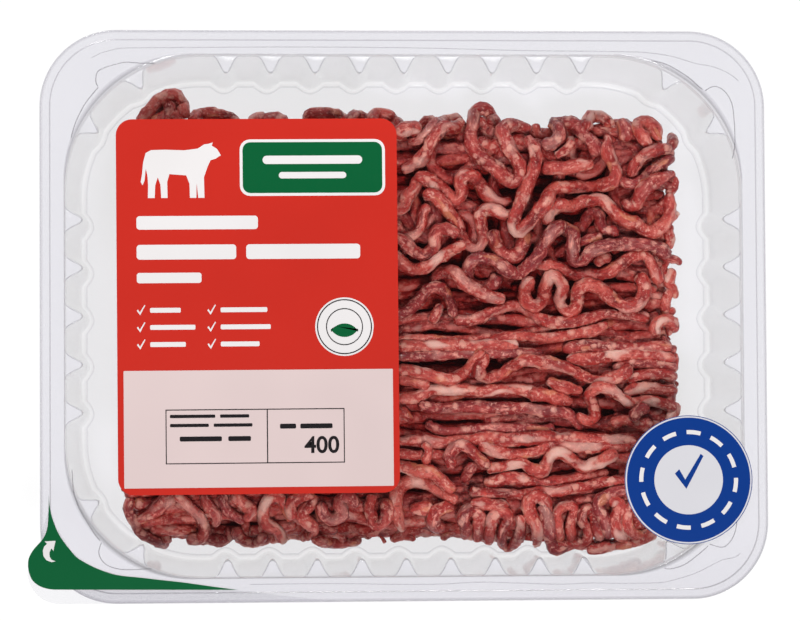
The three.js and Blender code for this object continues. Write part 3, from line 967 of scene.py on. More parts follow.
tracedCurls = [
    [(543, 167), (558, 167), (578, 165), (598, 161)],
    [
        (542, 143), (552, 143), (561, 136), (561, 126), (557, 120), (568, 120), (580, 123), (586, 132),
        (594, 143), (601, 155)
    ],
    [(557, 156), (567, 149), (577, 140)],
    [(589, 129), (590, 118), (599, 113), (608, 116), (613, 125)],
    [(629, 141), (627, 128), (626, 116)],
    [(653, 146), (644, 136), (639, 126), (647, 120), (656, 124), (660, 135), (665, 139)],
    [(633, 178), (636, 165), (646, 154), (659, 149), (672, 146), (678, 136), (675, 127)],
    [(621, 178), (632, 184), (646, 178), (656, 167), (669, 159), (678, 155)],
    [(626, 198), (630, 205), (639, 201), (643, 190), (653, 182), (666, 176), (678, 172)],
    [(409, 140), (420, 139), (430, 132), (439, 123), (453, 117), (469, 113)],
    [(394, 136), (404, 129), (415, 127), (423, 132)],
    [(403, 169), (415, 164), (426, 153), (433, 139), (443, 127), (456, 125), (472, 120)],
    [(395, 208), (404, 207), (409, 195), (416, 187), (420, 176), (425, 173)],
    [
        (415, 175), (427, 178), (438, 185), (449, 193), (458, 200), (463, 191), (462, 179), (470, 173),
        (479, 178), (485, 188), (493, 198), (504, 202), (514, 198)
    ],
    [(395, 221), (404, 234), (415, 234), (423, 222), (425, 210), (433, 205)],
    [
        (423, 193), (436, 196), (447, 207), (456, 219), (462, 234), (470, 245), (480, 247), (485, 236),
        (482, 225), (481, 214), (488, 208), (498, 211), (507, 214), (514, 210)
    ],
    [
        (394, 234), (404, 240), (415, 250), (426, 254), (435, 247), (436, 234), (444, 228), (453, 231),
        (461, 236)
    ],
    [(395, 251), (404, 262), (415, 268), (427, 266), (441, 257), (455, 248), (467, 244)],
    [(493, 230), (498, 245), (507, 256), (519, 253), (525, 240), (528, 228)],
    [(583, 231), (589, 218), (596, 209), (603, 216), (604, 227), (612, 231), (623, 228)],
    [(577, 244), (591, 239), (606, 237)],
    [
        (551, 225), (549, 213), (558, 205), (574, 204), (591, 199), (604, 199), (613, 207), (624, 218),
        (636, 222), (647, 230), (658, 230), (667, 222), (672, 211), (672, 199), (673, 190)
    ],
    [
        (531, 262), (543, 264), (557, 266), (571, 271), (586, 274), (601, 273), (612, 270), (623, 263),
        (633, 256), (646, 254), (653, 262), (659, 274), (664, 286)
    ],
    [(596, 263), (606, 257), (616, 256)],
    [
        (500, 273), (495, 283), (484, 287), (473, 283), (469, 273), (472, 261), (482, 257), (495, 260),
        (505, 268), (518, 273), (530, 265), (540, 254), (549, 237), (557, 228), (566, 227), (574, 234),
        (573, 247), (575, 259), (584, 260), (592, 251), (607, 245), (626, 244), (647, 244), (662, 248),
        (673, 257)
    ],
    [(435, 283), (439, 274), (449, 270), (458, 273), (465, 282), (478, 289), (491, 296), (510, 299)],
    [(395, 314), (410, 309), (421, 299), (429, 289), (439, 286), (449, 293), (453, 305), (455, 317)],
    [(432, 322), (439, 311), (443, 300)],
    [
        (533, 277), (527, 289), (528, 302), (537, 306), (545, 299), (548, 286), (551, 276), (558, 276),
        (564, 286), (563, 302), (571, 312), (579, 305), (580, 291), (589, 284), (603, 288), (613, 297),
        (626, 306), (638, 305), (646, 293), (644, 279), (639, 270)
    ],
    [
        (498, 123), (494, 112), (488, 105), (479, 109), (475, 121), (472, 135), (474, 147), (482, 156),
        (493, 164), (504, 173), (514, 181), (522, 175), (520, 162), (513, 152), (506, 139), (504, 129),
        (513, 124), (525, 125), (534, 132)
    ],
    [
        (527, 136), (534, 146), (537, 159), (533, 175), (525, 193), (518, 208), (514, 222), (519, 231),
        (528, 224), (537, 213), (547, 202), (555, 188), (571, 185), (586, 185), (601, 184), (612, 182),
        (617, 173), (612, 159), (607, 149), (610, 139), (604, 133)
    ],
    [(659, 335), (657, 325), (666, 319), (675, 323), (675, 334)],
]
tracedFolds = [
    [(146, 122), (156, 113), (166, 108), (176, 112), (183, 121)],
    [(152, 124), (163, 117), (174, 116), (182, 124)],
    [(566, 534), (580, 543), (596, 546), (610, 541)],
    [(596, 538), (612, 546), (628, 549), (642, 543)],
    [(626, 536), (640, 543), (654, 541), (664, 532)],
    [(540, 531), (556, 541), (572, 548), (588, 552)],
    [(403, 532), (397, 516), (395, 501), (399, 487), (412, 480), (427, 483), (441, 492), (458, 503)],
    [(409, 508), (423, 509), (436, 507)],
    [(443, 530), (433, 522), (435, 512), (446, 507), (455, 509)],
    [(465, 539), (467, 529), (462, 518), (469, 509), (478, 515), (479, 529), (478, 542)],
    [(469, 503), (482, 503), (496, 506), (511, 507)],
    [
        (490, 545), (490, 527), (493, 515), (502, 512), (508, 518), (503, 529), (503, 541), (511, 548),
        (519, 539), (521, 526), (517, 513)
    ],
    [
        (533, 552), (537, 538), (536, 524), (529, 512), (528, 501), (537, 496), (545, 504), (547, 518),
        (551, 530)
    ],
    [(540, 504), (545, 515), (548, 527), (551, 541), (558, 553), (567, 555), (569, 545)],
    [
        (560, 539), (557, 526), (556, 513), (563, 506), (572, 507), (573, 516), (569, 527), (573, 539),
        (581, 545), (588, 539), (587, 529), (581, 519), (584, 510), (591, 509), (595, 519), (597, 530),
        (604, 541)
    ],
    [(632, 487), (612, 493), (600, 499), (597, 507), (603, 518), (607, 529), (607, 539)],
    [(610, 507), (615, 501), (618, 509), (613, 521), (617, 532), (626, 537), (633, 535)],
    [(633, 503), (626, 513), (626, 526), (635, 535), (649, 535)],
    [(587, 550), (600, 556), (612, 552), (612, 542)],
    [(613, 559), (627, 555), (638, 544)],
    [(633, 561), (647, 555), (656, 545), (670, 547)],
    [(129, 497), (129, 511), (136, 524), (140, 538), (152, 546), (169, 546)],
    [(175, 496), (163, 503), (152, 513), (138, 522)],
    [(175, 494), (188, 505), (199, 517), (205, 530), (198, 540), (184, 536)],
    [(203, 494), (209, 507), (217, 517), (213, 528)],
    [(222, 494), (225, 507), (236, 517), (245, 520)],
    [(232, 494), (243, 503), (251, 513), (243, 520)],
    [(284, 541), (276, 530), (265, 522), (263, 509), (270, 497), (282, 499), (286, 511), (291, 522)],
    [(293, 520), (290, 505), (301, 496), (312, 501), (302, 513), (307, 522), (315, 530), (309, 540)],
    [(320, 501), (322, 513), (333, 519), (343, 513), (339, 501), (351, 497), (356, 509)],
    [(372, 494), (370, 509), (374, 524), (383, 522), (387, 509), (383, 496)],
    [(234, 528), (243, 540), (259, 542), (265, 532)],
    [(312, 538), (330, 543), (347, 543), (364, 538)],
    [(138, 124), (148, 112), (157, 101), (165, 97), (176, 96), (182, 105), (187, 120)],
    [(163, 124), (170, 109), (167, 100)],
    [(190, 123), (199, 113), (215, 112), (230, 115), (240, 124)],
    [(253, 124), (259, 116), (266, 118), (278, 116), (287, 124)],
    [(309, 124), (312, 113), (324, 112), (337, 113), (347, 120), (349, 126)],
    [(347, 122), (356, 113), (366, 116), (370, 124)],
    [(372, 122), (375, 113), (389, 112), (398, 120), (404, 132)],
]


# Lays each traced strand of a group where it shows in the picture
def layTraced(group, layer, thickness, crossing):
    laid = []
    for pixels in group:
        route = smoothRoute([underPixel(*pixel, tracedHeights[layer]) for pixel in pixels])
        radius = drawRadius() * thickness
        press = strands["press"] * 0.7
        stiffness = strands["bendOver"] if crossing else 4.0
        laid.append((layStrand(route, radius, layer, press, stiffness, crossing), radius))
    return laid


# Short bent bits that make the lower edge of the heap uneven
def edgeLumps():
    laid = []
    for x in np.arange(heap["left"] + 8, heap["right"] - 6, 5.2):
        for edge, outward in ((heap["front"], -1), (heap["back"], 1)):
            spot = np.array([x + dice.uniform(-2, 2), edge - outward * dice.uniform(-0.5, 3.5)])
            heading = dice.uniform(0, 2 * math.pi)
            route = swingingRoute(spot, heading, dice.uniform(7, 13), 16, 1.2)
            route = keepInside(route - (route.mean(axis=0) - spot), -1.6)
            if len(route) > 5:
                radius = drawRadius() * dice.uniform(0.7, 0.95)
                laid.append((layStrand(route, radius, "lumps", stiffness=1.6), radius))
    for y in np.arange(heap["front"] + 12, heap["back"] - 9, 3.4):
        for edge, outward in ((heap["left"], -1), (heap["right"], 1)):
            spot = np.array([edge + outward * dice.uniform(-2.4, 0.3), y + dice.uniform(-1.5, 1.5)])
            heading = math.pi / 2 + dice.normal(0, 0.5)
            route = swingingRoute(spot, heading, dice.uniform(5, 10), 14, 0.9)
            route = route - (route.mean(axis=0) - spot)
            radius = drawRadius() * dice.uniform(0.6, 0.9)
            laid.append((layStrand(route, radius, "sideLumps", stiffness=1.6), radius))
    return laid


# Small torn bits that stand out at the heap's sides
def tornShreds():
    laid = []
    for _ in range(70):
        side = dice.integers(0, 4)
        if side < 2:
            spot = np.array([heap["left"] if side == 0 else heap["right"], dice.uniform(-60, 52)])
            heading = math.pi if side == 0 else 0
        else:
            spot = np.array([dice.uniform(-76, 76), heap["front"] if side == 2 else heap["back"]])
            heading = -math.pi / 2 if side == 2 else math.pi / 2
        route = swingingRoute(spot, heading + dice.normal(0, 0.9), dice.uniform(2.5, 5), 9, 0.8)
        route = route - (route[-1] - spot) * dice.uniform(0.75, 1.0)
        radius = dice.uniform(0.7, 1.4)
        height = dice.uniform(2.5, 12)
        laid.append((np.column_stack([route, np.linspace(height, height + 1, len(route))]), radius))
    return laid


# Round ends, and a thickness that swells and shrinks along the strand
def radiiAlong(points, radius):
    walked = walkedAlong(points)
    phase = dice.uniform(0, 2 * math.pi, 3)
    swell = 1 + 0.05 * np.sin(walked / 2.1 + phase[0]) + 0.06 * np.sin(walked / 4.7 + phase[1])
    swell += 0.05 * np.sin(walked / 11 + phase[2])
    for fromEnd in (walked, walked[-1] - walked):
        tail = dice.uniform(2.5, 7) if dice.uniform() < 0.45 else 1.5
        thin = dice.uniform(0.5, 0.9)
        swell = swell * (thin + (1 - thin) * np.clip(fromEnd / tail, 0, 1))
        tip = radius * dice.uniform(0.35, 0.8)
        swell = swell * np.sqrt(np.clip(1 - (1 - np.minimum(fromEnd / tip, 1)) ** 2, 0, 1))
    return radius * swell


# Extra points near both ends so that the ends come out round
def withFineEnds(points):
    walked = walkedAlong(points)
    middle = np.arange(2.4, max(2.5, walked[-1] - 2.4), strands["step"])
    ends = np.array([0, 0.25, 0.7, 1.3, 1.9])
    marks = np.unique(np.concatenate([ends, middle, walked[-1] - ends]).clip(0, walked[-1]).round(3))
    return np.column_stack([np.interp(marks, walked, points[:, k]) for k in range(3)])


# Lumps on the strands' surface, from a few slanted waves
def lumps(points, seed, wave):
    own = np.random.default_rng(seed)
    total = np.zeros(len(points))
    for _ in range(7):
        direction = own.normal(size=3)
        direction /= np.linalg.norm(direction)
        turnsPerMm = 2 * math.pi / (wave * own.uniform(0.7, 1.4))
        total += np.sin(points @ direction * turnsPerMm + own.uniform(0, 6.3))
    return total / 3.5


# One piece for each kind of strand, its pattern following each strand's own length and turn
def makeStrands(name, laid, material):
    sides = ringSize(strands["ringSteps"])
    turns = 2 * math.pi * np.arange(sides) / sides
    lines, tones, places = [], [], []
    for points, radius in laid:
        points = withFineEnds(points)
        lines.append((points, radiiAlong(points, radius)))
        tones.append(np.full(len(points) * sides, dice.uniform()))
        walked = walkedAlong(points)
        own = np.empty((len(points), sides, 3))
        own[:, :, 0] = (walked + dice.uniform(0, 4000))[:, None]
        own[:, :, 1] = radius * np.cos(turns)
        own[:, :, 2] = radius * np.sin(turns)
        places.append(own.reshape(-1, 3))
    mesh = lineMesh(name, lines, strands["ringSteps"])
    centre = np.repeat(np.vstack([points for points, radii in lines]), sides, axis=0)
    spots = np.empty(len(mesh.vertices) * 3)
    mesh.vertices.foreach_get("co", spots)
    spots = spots.reshape(-1, 3) / mm
    size = 1 + sum(share * lumps(spots, seed, wave) for share, seed, wave in strands["lumps"])
    spots = centre + (spots - centre) * size[:, None]
    spots[:, 2] = np.maximum(spots[:, 2], restFloor)
    mesh.vertices.foreach_set("co", (spots * mm).ravel())
    writeAttribute(mesh, "strandTone", np.concatenate(tones))
    writeAttribute(mesh, "strandPlace", np.vstack(places))
    writeAttribute(mesh, "depth", depthUnder(spots))
    bm = bmesh.new()
    bm.from_mesh(mesh)
    bmesh.ops.remove_doubles(bm, verts=bm.verts, dist=0.02 * mm)
    for face in bm.faces:
        face.smooth = True
    bm.to_mesh(mesh)
    bm.free()
    print(name, len(laid), "strands,", len(mesh.polygons) * 2, "triangles")
    addPiece(name, mesh, material)


# What lies this far below the heap's level round it, and inside its sides, gets a painted shade
shadeDepths = {"round": 5, "start": 2.6, "full": 6.5, "fromSide": 9}


# The level that the heap reaches round each point of the map
def outerLevel():
    level = relief.copy()
    reach = int(shadeDepths["round"] / heap["mapCell"])
    for gather in (np.max, np.mean):
        for axis in (0, 1):
            shifted = [np.roll(level, k, axis=axis) for k in range(-reach, reach + 1)]
            level = gather(shifted, axis=0)
    return level


# How deep spots lie in the heap, from 0 to 1, which sets the painted shade
def depthUnder(spots):
    cell = np.round((spots[:, :2] - mapCorner) / heap["mapCell"]).astype(int)
    cell = np.clip(cell, 0, np.array(relief.shape) - 1)
    below = heapLevel[cell[:, 0], cell[:, 1]] - spots[:, 2]
    fromSide = np.clip(insideHeap(spots[:, :2]) / shadeDepths["fromSide"], 0, 1)
    return np.clip((below - shadeDepths["start"]) / shadeDepths["full"], 0, 1) * fromSide


# Raw meat. Each pattern is a noise along the strand, given by its scale, detail and roughness.
# Each layer lies over the ones before, as strongly as the ramp says at the pattern's value.
meat = {
    "stretch": (0.45, 1, 1),
    "patterns": {
        "broad": (0.30, 2, 0.55),
        "marbling": (0.62, 3, 0.65),
        "patches": (0.24, 1, 0.5),
    },
    "fine": (0.95, 3, 0.6),
    "toneShare": 0.22,
    "reds": [
        (0.40, (0.19, 0.006, 0.006)),
        (0.52, (0.33, 0.017, 0.014)),
        (0.64, (0.46, 0.038, 0.030)),
        (0.80, (0.60, 0.10, 0.075)),
    ],
    "layers": [
        ("darkFlecks", "fine", [(0.34, 0.6), (0.42, 0)], (0.17, 0.005, 0.005)),
        ("dullStrands", "tone", [(0.0, 0.55), (0.35, 0)], (0.26, 0.030, 0.036)),
        ("streaks", "marbling", [(0.54, 0), (0.62, 0.5), (0.70, 0.95)], (0.76, 0.25, 0.20)),
        ("fat", "patches", [(0.58, 0), (0.64, 0.55), (0.72, 0.9)], (0.84, 0.50, 0.42)),
        ("amber", "patches", [(0.26, 0.55), (0.32, 0)], (0.74, 0.26, 0.13)),
        ("paleFlecks", "fine", [(0.56, 0), (0.70, 0.7)], (0.86, 0.44, 0.36)),
        ("specks", "grains", [(0.0, 0), (0.34, 0.75)], (0.80, 0.37, 0.29)),
    ],
    "fatByTone": [(0.2, 0.25), (0.8, 1.0)],
    "grains": {"scale": 0.42, "bend": 1.6, "spread": 1.3, "smallest": -0.42},
    # Painted shade: the colour is multiplied darker the deeper a spot lies in the heap
    "shadeByDepth": [(0.0, (1, 1, 1)), (0.4, (0.68, 0.38, 0.38)), (1.0, (0.42, 0.03, 0.03))],
    "wetness": [(0.35, 0.3), (0.65, 0.5)],
    "coatRoughness": 0.11,
    "grain": (1.0, 3, 0.7),
    "grainBump": (0.9, 0.75),
    "coat": 0.45,
    "coatBelow": 0.15,
}


# Round specks of uneven size along a strand: above zero inside them
def speckField(nodes, links, place, unevenness):
    look = meat["grains"]
    bend = addNode(nodes, "ShaderNodeVectorMath", operation="MULTIPLY_ADD")
    links.new(unevenness, bend.inputs[0])
    bend.inputs[1].default_value = (look["bend"],) * 3
    links.new(place, bend.inputs[2])
    grains = nodes.new("ShaderNodeTexVoronoi")
    grains.inputs["Scale"].default_value = look["scale"]
    links.new(bend.outputs[0], grains.inputs["Vector"])
    size = mathNode(nodes, links, "MULTIPLY_ADD", grains.outputs["Color"], look["spread"])
    size.node.inputs[2].default_value = look["smallest"]
    return mathNode(nodes, links, "SUBTRACT", size, grains.outputs["Distance"])


# Patterns follow each strand, and what lies deep in the heap is darkened by painted shade
def minceMaterial(name, coat):
    material, nodes, links, surface = newMaterial(name)
    place = attributeNode(nodes, "strandPlace", "Vector")
    tone = attributeNode(nodes, "strandTone")
    drawn = nodes.new("ShaderNodeMapping")
    drawn.inputs["Scale"].default_value = meat["stretch"]
    links.new(place, drawn.inputs["Vector"])
    patterns = {"tone": tone}
    for kind, values in meat["patterns"].items():
        patterns[kind] = noiseNode(nodes, links, drawn.outputs[0], *values).outputs[0]
    fine = noiseNode(nodes, links, place, *meat["fine"])
    patterns["fine"] = fine.outputs[0]
    patterns["grains"] = speckField(nodes, links, place, fine.outputs["Color"])
    mixed = mathNode(nodes, links, "MULTIPLY", tone, meat["toneShare"])
    mixed = mathNode(nodes, links, "ADD", mixed, patterns["broad"])
    colour = rampNode(nodes, links, mixed, meat["reds"]).outputs[0]
    for kind, pattern, stops, over in meat["layers"]:
        share = rampNode(nodes, links, patterns[pattern], stops).outputs[0]
        if kind == "fat":
            byTone = rampNode(nodes, links, tone, meat["fatByTone"])
            share = mathNode(nodes, links, "MULTIPLY", share, byTone.outputs[0])
        colour = mixColour(nodes, links, share, colour, over)
    # Painted shade in the heap's gaps, set by the depth attribute
    shade = rampNode(nodes, links, attributeNode(nodes, "depth"), meat["shadeByDepth"])
    colour = mixColour(nodes, links, 1.0, colour, shade.outputs[0], "MULTIPLY")
    links.new(colour, surface.inputs["Base Color"])
    wet = rampNode(nodes, links, patterns["marbling"], meat["wetness"])
    links.new(wet.outputs[0], surface.inputs["Roughness"])
    values = {
        "Subsurface Weight": 0.12,
        "Subsurface Radius": (1.0, 0.3, 0.2),
        "Subsurface Scale": 1.5 * mm,
        "Specular IOR Level": coat * 0.5,
        "Coat Weight": coat,
        "Coat Roughness": meat["coatRoughness"],
    }
    setInputs(surface, values)
    grain = noiseNode(nodes, links, place, *meat["grain"])
    bumpNode(nodes, links, surface, grain.outputs[0], *meat["grainBump"])
    return material


# Core under the strands, of which a little shows in the gaps, in a dark red from painted shade
core = {"raise": 1, "corner": 8, "cornerSteps": 4, "longestEdge": 5, "lumpWave": 9.0, "lumpHeight": 0.5}


def makeCore(material):
    bm = bmesh.new()
    bmesh.ops.create_cube(bm, size=1)
    inset = heap["coreInset"]
    size = (
        heap["right"] - heap["left"] - 2 * inset,
        heap["back"] - heap["front"] - 2 * inset,
        heap["coreTop"] - restFloor - core["raise"],
    )
    bmesh.ops.scale(bm, vec=size, verts=bm.verts)
    middle = ((heap["left"] + heap["right"]) / 2, (heap["front"] + heap["back"]) / 2)
    lift = restFloor + core["raise"] + size[2] / 2
    bmesh.ops.translate(bm, vec=(*middle, lift), verts=bm.verts)
    upright = [e for e in bm.edges if abs(e.verts[0].co.z - e.verts[1].co.z) > 1]
    bmesh.ops.bevel(
        bm,
        geom=upright,
        offset=core["corner"],
        segments=core["cornerSteps"],
        profile=0.5,
        affect="EDGES",
        material=-1,
    )
    bmesh.ops.triangulate(bm, faces=bm.faces)
    for _ in range(5):
        long = [e for e in bm.edges if e.calc_length() > core["longestEdge"]]
        bmesh.ops.subdivide_edges(bm, edges=long, cuts=1)
        bmesh.ops.triangulate(bm, faces=bm.faces)
    spots = np.array([v.co for v in bm.verts])
    for vert, lump in zip(bm.verts, lumps(spots, 21, core["lumpWave"])):
        if vert.co.z > heap["coreTop"] - 2:
            vert.co.z += core["lumpHeight"] * lump
    bm.verts.index_update()
    mesh = meshFromBmesh("minceCore", bm)
    writeAttribute(mesh, "strandTone", np.full(len(mesh.vertices), 0.3))
    writeAttribute(mesh, "strandPlace", spots)
    # A deep painted shade over the whole core
    writeAttribute(mesh, "depth", np.full(len(mesh.vertices), 0.8))
    addPiece("minceCore", mesh, material, "mince")


coreCells = np.stack(
    np.meshgrid(
        mapCorner[0] + np.arange(relief.shape[0]) * heap["mapCell"],
        mapCorner[1] + np.arange(relief.shape[1]) * heap["mapCell"],
        indexing="ij",
    ),
    axis=-1,
)
baseLayer = straightLayer("base", 0.5, 0.0)
relief[insideHeap(coreCells, heap["coreInset"]) > 0] = heap["coreTop"]
sideLayer = sideStubs() + edgeRuns()
lowerRows = straightLayer("lowerRows", 1.4, 0.4)
upperRows = straightLayer("upperRows", 1.8, 0.0, 1.3, True)
hidden = (heap["left"], -6, 0, heap["back"])
backCurls = curledLayer("hiddenCurls", hidden, 3, 4, 4.0)
underCurls = (-10, heap["right"], 8, heap["back"])
backCurls += curledLayer("deepCurls", underCurls, 4, 4, 3.5)
runLayer = layTraced(tracedRuns, "runs", 0.95, False)
foldLayer = layTraced(tracedFolds, "folds", 0.97, True)
tracedLayer = layTraced(tracedTops, "tops", 0.98, True)
tracedLayer += layTraced(tracedCurls, "curls", 1.02, True)
foldLayer += edgeLumps()
shredLayer = tornShreds()
heapLevel = outerLevel()
print("strands laid, heap reaches", round(relief.max(), 1))

minceFinish = minceMaterial("rawMince", meat["coat"])
deepFinish = minceMaterial("rawMinceBelow", meat["coatBelow"])
makeCore(deepFinish)
makeStrands("minceBase", baseLayer, deepFinish)
makeStrands("minceSides", sideLayer, minceFinish)
makeStrands("minceLowerRows", lowerRows, deepFinish)
makeStrands("minceUpperRows", upperRows, minceFinish)
makeStrands("minceCurls", backCurls, minceFinish)
makeStrands("minceFolds", foldLayer, minceFinish)
makeStrands("minceRuns", runLayer, minceFinish)
makeStrands("minceTopCurls", tracedLayer, minceFinish)
makeStrands("minceShreds", shredLayer, minceFinish)
print("mince ready")


# Flat pieces: lid film, labels and what is printed on them


def roundedRectangle(width, height, corner, steps=8):
    points = []
    for quarter in range(4):
        sx = 1 if quarter in (0, 3) else -1
        sy = 1 if quarter < 2 else -1
        centre = Vector((sx * (width / 2 - corner), sy * (height / 2 - corner)))
        for step in range(steps + 1):
            angle = math.pi / 2 * (quarter + step / steps)
            points.append(centre + corner * Vector((math.cos(angle), math.sin(angle))))
    return points


# Turns flat faces into a thin plate, turned and shifted into place
def raisePlate(name, bm, thickness, material, node=None, place=None):
    bmesh.ops.recalc_face_normals(bm, faces=bm.faces)
    made = bmesh.ops.extrude_face_region(bm, geom=bm.faces[:])["geom"]
    raised = [item for item in made if isinstance(item, bmesh.types.BMVert)]
    bmesh.ops.translate(bm, verts=raised, vec=(0, 0, thickness))
    bmesh.ops.recalc_face_normals(bm, faces=bm.faces)
    if place is not None:
        bmesh.ops.transform(bm, matrix=place, verts=bm.verts)
    mesh = meshFromBmesh(name, bm, smooth=False)
    return addPiece(name, mesh, material, node)


# A thin flat plate with the given outlines, each filled
def flatPlate(name, outlines, bottom, thickness, material, node=None, place=None):
    bm = bmesh.new()
    for outline in outlines:
        bm.faces.new([bm.verts.new((p[0], p[1], bottom)) for p in outline])
    return raisePlate(name, bm, thickness, material, node, place)


# Thin flat rings, each given by its centre and its inner and outer radius
def flatRings(name, rings, bottom, thickness, material, place=None):
    bm = bmesh.new()
    for centre, inner, outer in rings:
        where = Matrix.Translation((centre[0], centre[1], bottom))
        edges = []
        for radius in (inner, outer):
            made = bmesh.ops.create_circle(bm, segments=120, radius=radius, matrix=where)["verts"]
            edges += {edge for vert in made for edge in vert.link_edges}
        bmesh.ops.bridge_loops(bm, edges=edges)
    return raisePlate(name, bm, thickness, material, None, place)


film = {
    "inset": 0.2,
    "thickness": 0.08,
    "tabRadius": 10,
    "tabOverhang": 4,
    "tabStart": 21,
    "colour": (0.25, 0.25, 0.27),
    "veil": 0.004,
    "roughness": 0.08,
    "mirror": 0.45,
}


def arcPoints(centre, radius, start, end, steps=16):
    points = []
    for step in range(steps + 1):
        angle = math.radians(start + (end - start) * step / steps)
        points.append(Vector(centre) + Vector((math.cos(angle), math.sin(angle))) * radius)
    return points


def bezierPoints(a, b, c, d, steps=14):
    points = []
    for step in range(1, steps):
        t = step / steps
        s = 1 - t
        points.append(
            s**3 * Vector(a) + 3 * s * s * t * Vector(b) + 3 * s * t * t * Vector(c) + t**3 * Vector(d)
        )
    return points


# The film's edge from where it leaves the tray's left side, round the tab, to the front side
def tabEdge():
    half = trayHalf - film["inset"]
    radius = film["tabRadius"]
    tabX = -half[0] - film["tabOverhang"] + radius
    tabY = -half[1] + radius
    rise = film["tabStart"]
    start = (-half[0], -half[1] + rise)
    bend = ((-half[0], -half[1] + rise * 0.8), (tabX - radius, tabY + rise * 0.3))
    points = [Vector(start)] + bezierPoints(start, *bend, (tabX - radius, tabY))
    return points + arcPoints((tabX, tabY), radius, 180, 270)


def filmOutline():
    half = trayHalf - film["inset"]
    corner = tray["corner"] - film["inset"]
    points = []
    for sx, sy, start in ((1, -1, -90), (1, 1, 0), (-1, 1, 90)):
        centre = (sx * (half[0] - corner), sy * (half[1] - corner))
        points += arcPoints(centre, corner, start, start + 90)
    return points + tabEdge()


filmBottom = boxInMm("lid_film")[0][2]
filmTop = filmBottom + film["thickness"]
look = (film["colour"], film["veil"], film["roughness"], film["mirror"])
filmFinish = clearMaterial("clearLidFilm", *look)[0]
flatPlate(
    "lidFilm", [filmOutline()], filmBottom, film["thickness"], filmFinish, "lid_film"
)

# Loose corner of the film, where it stands out paler than the flange
flap = {
    "inner": [(215, 588), (180, 582), (123, 576), (92, 568), (72, 552), (56, 527), (50, 506)],
    "endX": -22,
    "drop": 0.12,
    "thickness": 0.08,
    "colour": (0.42, 0.40, 0.50),
    "veil": 0.10,
    "roughness": 0.12,
    "mirror": 0.3,
}
look = (flap["colour"], flap["veil"], flap["roughness"], flap["mirror"])
flapFinish = clearMaterial("clearFlap", *look)[0]
flapBottom = filmBottom - flap["drop"]
flapOutline = tabEdge() + [Vector((flap["endX"], -trayHalf[1] + film["inset"]))]
flapOutline += [Vector(underPixel(*pixel, flapBottom)) for pixel in flap["inner"]]
flatPlate("filmFlap", [flapOutline], flapBottom, flap["thickness"], flapFinish)


# Print: smooth ink with a faint cloudiness, and a painted shade that darkens it towards the front
printLook = {
    "cloudScale": 25,
    "cloud": [(0.3, 0.94), (0.7, 1.0)],
    "shadePerMetre": 8.0,
    "printShade": [(0.0, 0.90), (1.0, 1.03)],
    "speckScale": 2500,
    "roughness": [(0.3, 0.35), (0.7, 0.47)],
    "specular": 0.12,
    "rippleScale": 30,
    "rippleBump": (0.2, 1),
    "thickness": 0.05,
}


def printMaterial(name, colour):
    material, nodes, links, surface = newMaterial(name)
    place = objectCoordinates(nodes)
    cloud = noiseNode(nodes, links, place, printLook["cloudScale"], 2)
    share = rampNode(nodes, links, cloud.outputs[0], printLook["cloud"])
    tint = mixColour(nodes, links, 1.0, colour, share.outputs[0], "MULTIPLY")
    # Painted shade: the print darkens towards the front
    axes = nodes.new("ShaderNodeSeparateXYZ")
    links.new(place, axes.inputs[0])
    slope = printLook["shadePerMetre"]
    fromFront = mathNode(nodes, links, "MULTIPLY_ADD", axes.outputs[1], slope)
    fromFront.node.inputs[2].default_value = 0.5
    printShade = rampNode(nodes, links, fromFront, printLook["printShade"])
    tint = mixColour(nodes, links, 1.0, tint, printShade.outputs[0], "MULTIPLY")
    links.new(tint, surface.inputs["Base Color"])
    speck = noiseNode(nodes, links, place, printLook["speckScale"], 1)
    rough = rampNode(nodes, links, speck.outputs[0], printLook["roughness"])
    links.new(rough.outputs[0], surface.inputs["Roughness"])
    surface.inputs["Specular IOR Level"].default_value = printLook["specular"]
    ripple = noiseNode(nodes, links, place, printLook["rippleScale"], 1)
    bumpNode(nodes, links, surface, ripple.outputs[0], *printLook["rippleBump"])
    return material


printColours = {
    "red": (0.58, 0.024, 0.014),
    "green": (0.0, 0.108, 0.032),
    "blue": (0.0, 0.038, 0.25),
    "white": (0.82, 0.79, 0.79),
    "sticker": (0.71, 0.70, 0.74),
    "pale": (0.74, 0.595, 0.585),
    "ink": (0.012, 0.010, 0.012),
}
finishes = {name: printMaterial(name + "Print", colour) for name, colour in printColours.items()}

# Main label

mainLabel = {
    "width": 87.2,
    "height": 116.4,
    "corner": 5,
    "turn": 0.25,
    "shift": (-0.45, -0.15),
    "thickness": 0.12,
}
labelLow, labelHigh = boxInMm("main_label")
labelMiddle = (labelLow + labelHigh)[:2] / 2 + mainLabel["shift"]
labelTurn = Matrix.Rotation(math.radians(mainLabel["turn"]), 4, "Z")
labelPlace = Matrix.Translation((*labelMiddle, 0)) @ labelTurn
labelTop = labelLow[2] + mainLabel["thickness"]
flatPlate(
    "mainLabel",
    [roundedRectangle(mainLabel["width"], mainLabel["height"], mainLabel["corner"])],
    labelLow[2],
    mainLabel["thickness"],
    finishes["red"],
    "main_label",
    labelPlace,
)


# Outline of a round-cornered bar round a middle point; without a corner given, its ends are round
def bar(x, y, width, height, corner=None):
    corner = min(width, height) / 2 * 0.98 if corner is None else corner
    return [p + Vector((x, y)) for p in roundedRectangle(width, height, corner, 5)]


# Ink on the main label, or on another top: each level lies on the one below
def printOn(name, outlines, colour, level=1, place=labelPlace, top=labelTop):
    ink = printLook["thickness"]
    base = top + (level - 1) * ink
    flatPlate(name, outlines, base, ink, finishes[colour], None, place)


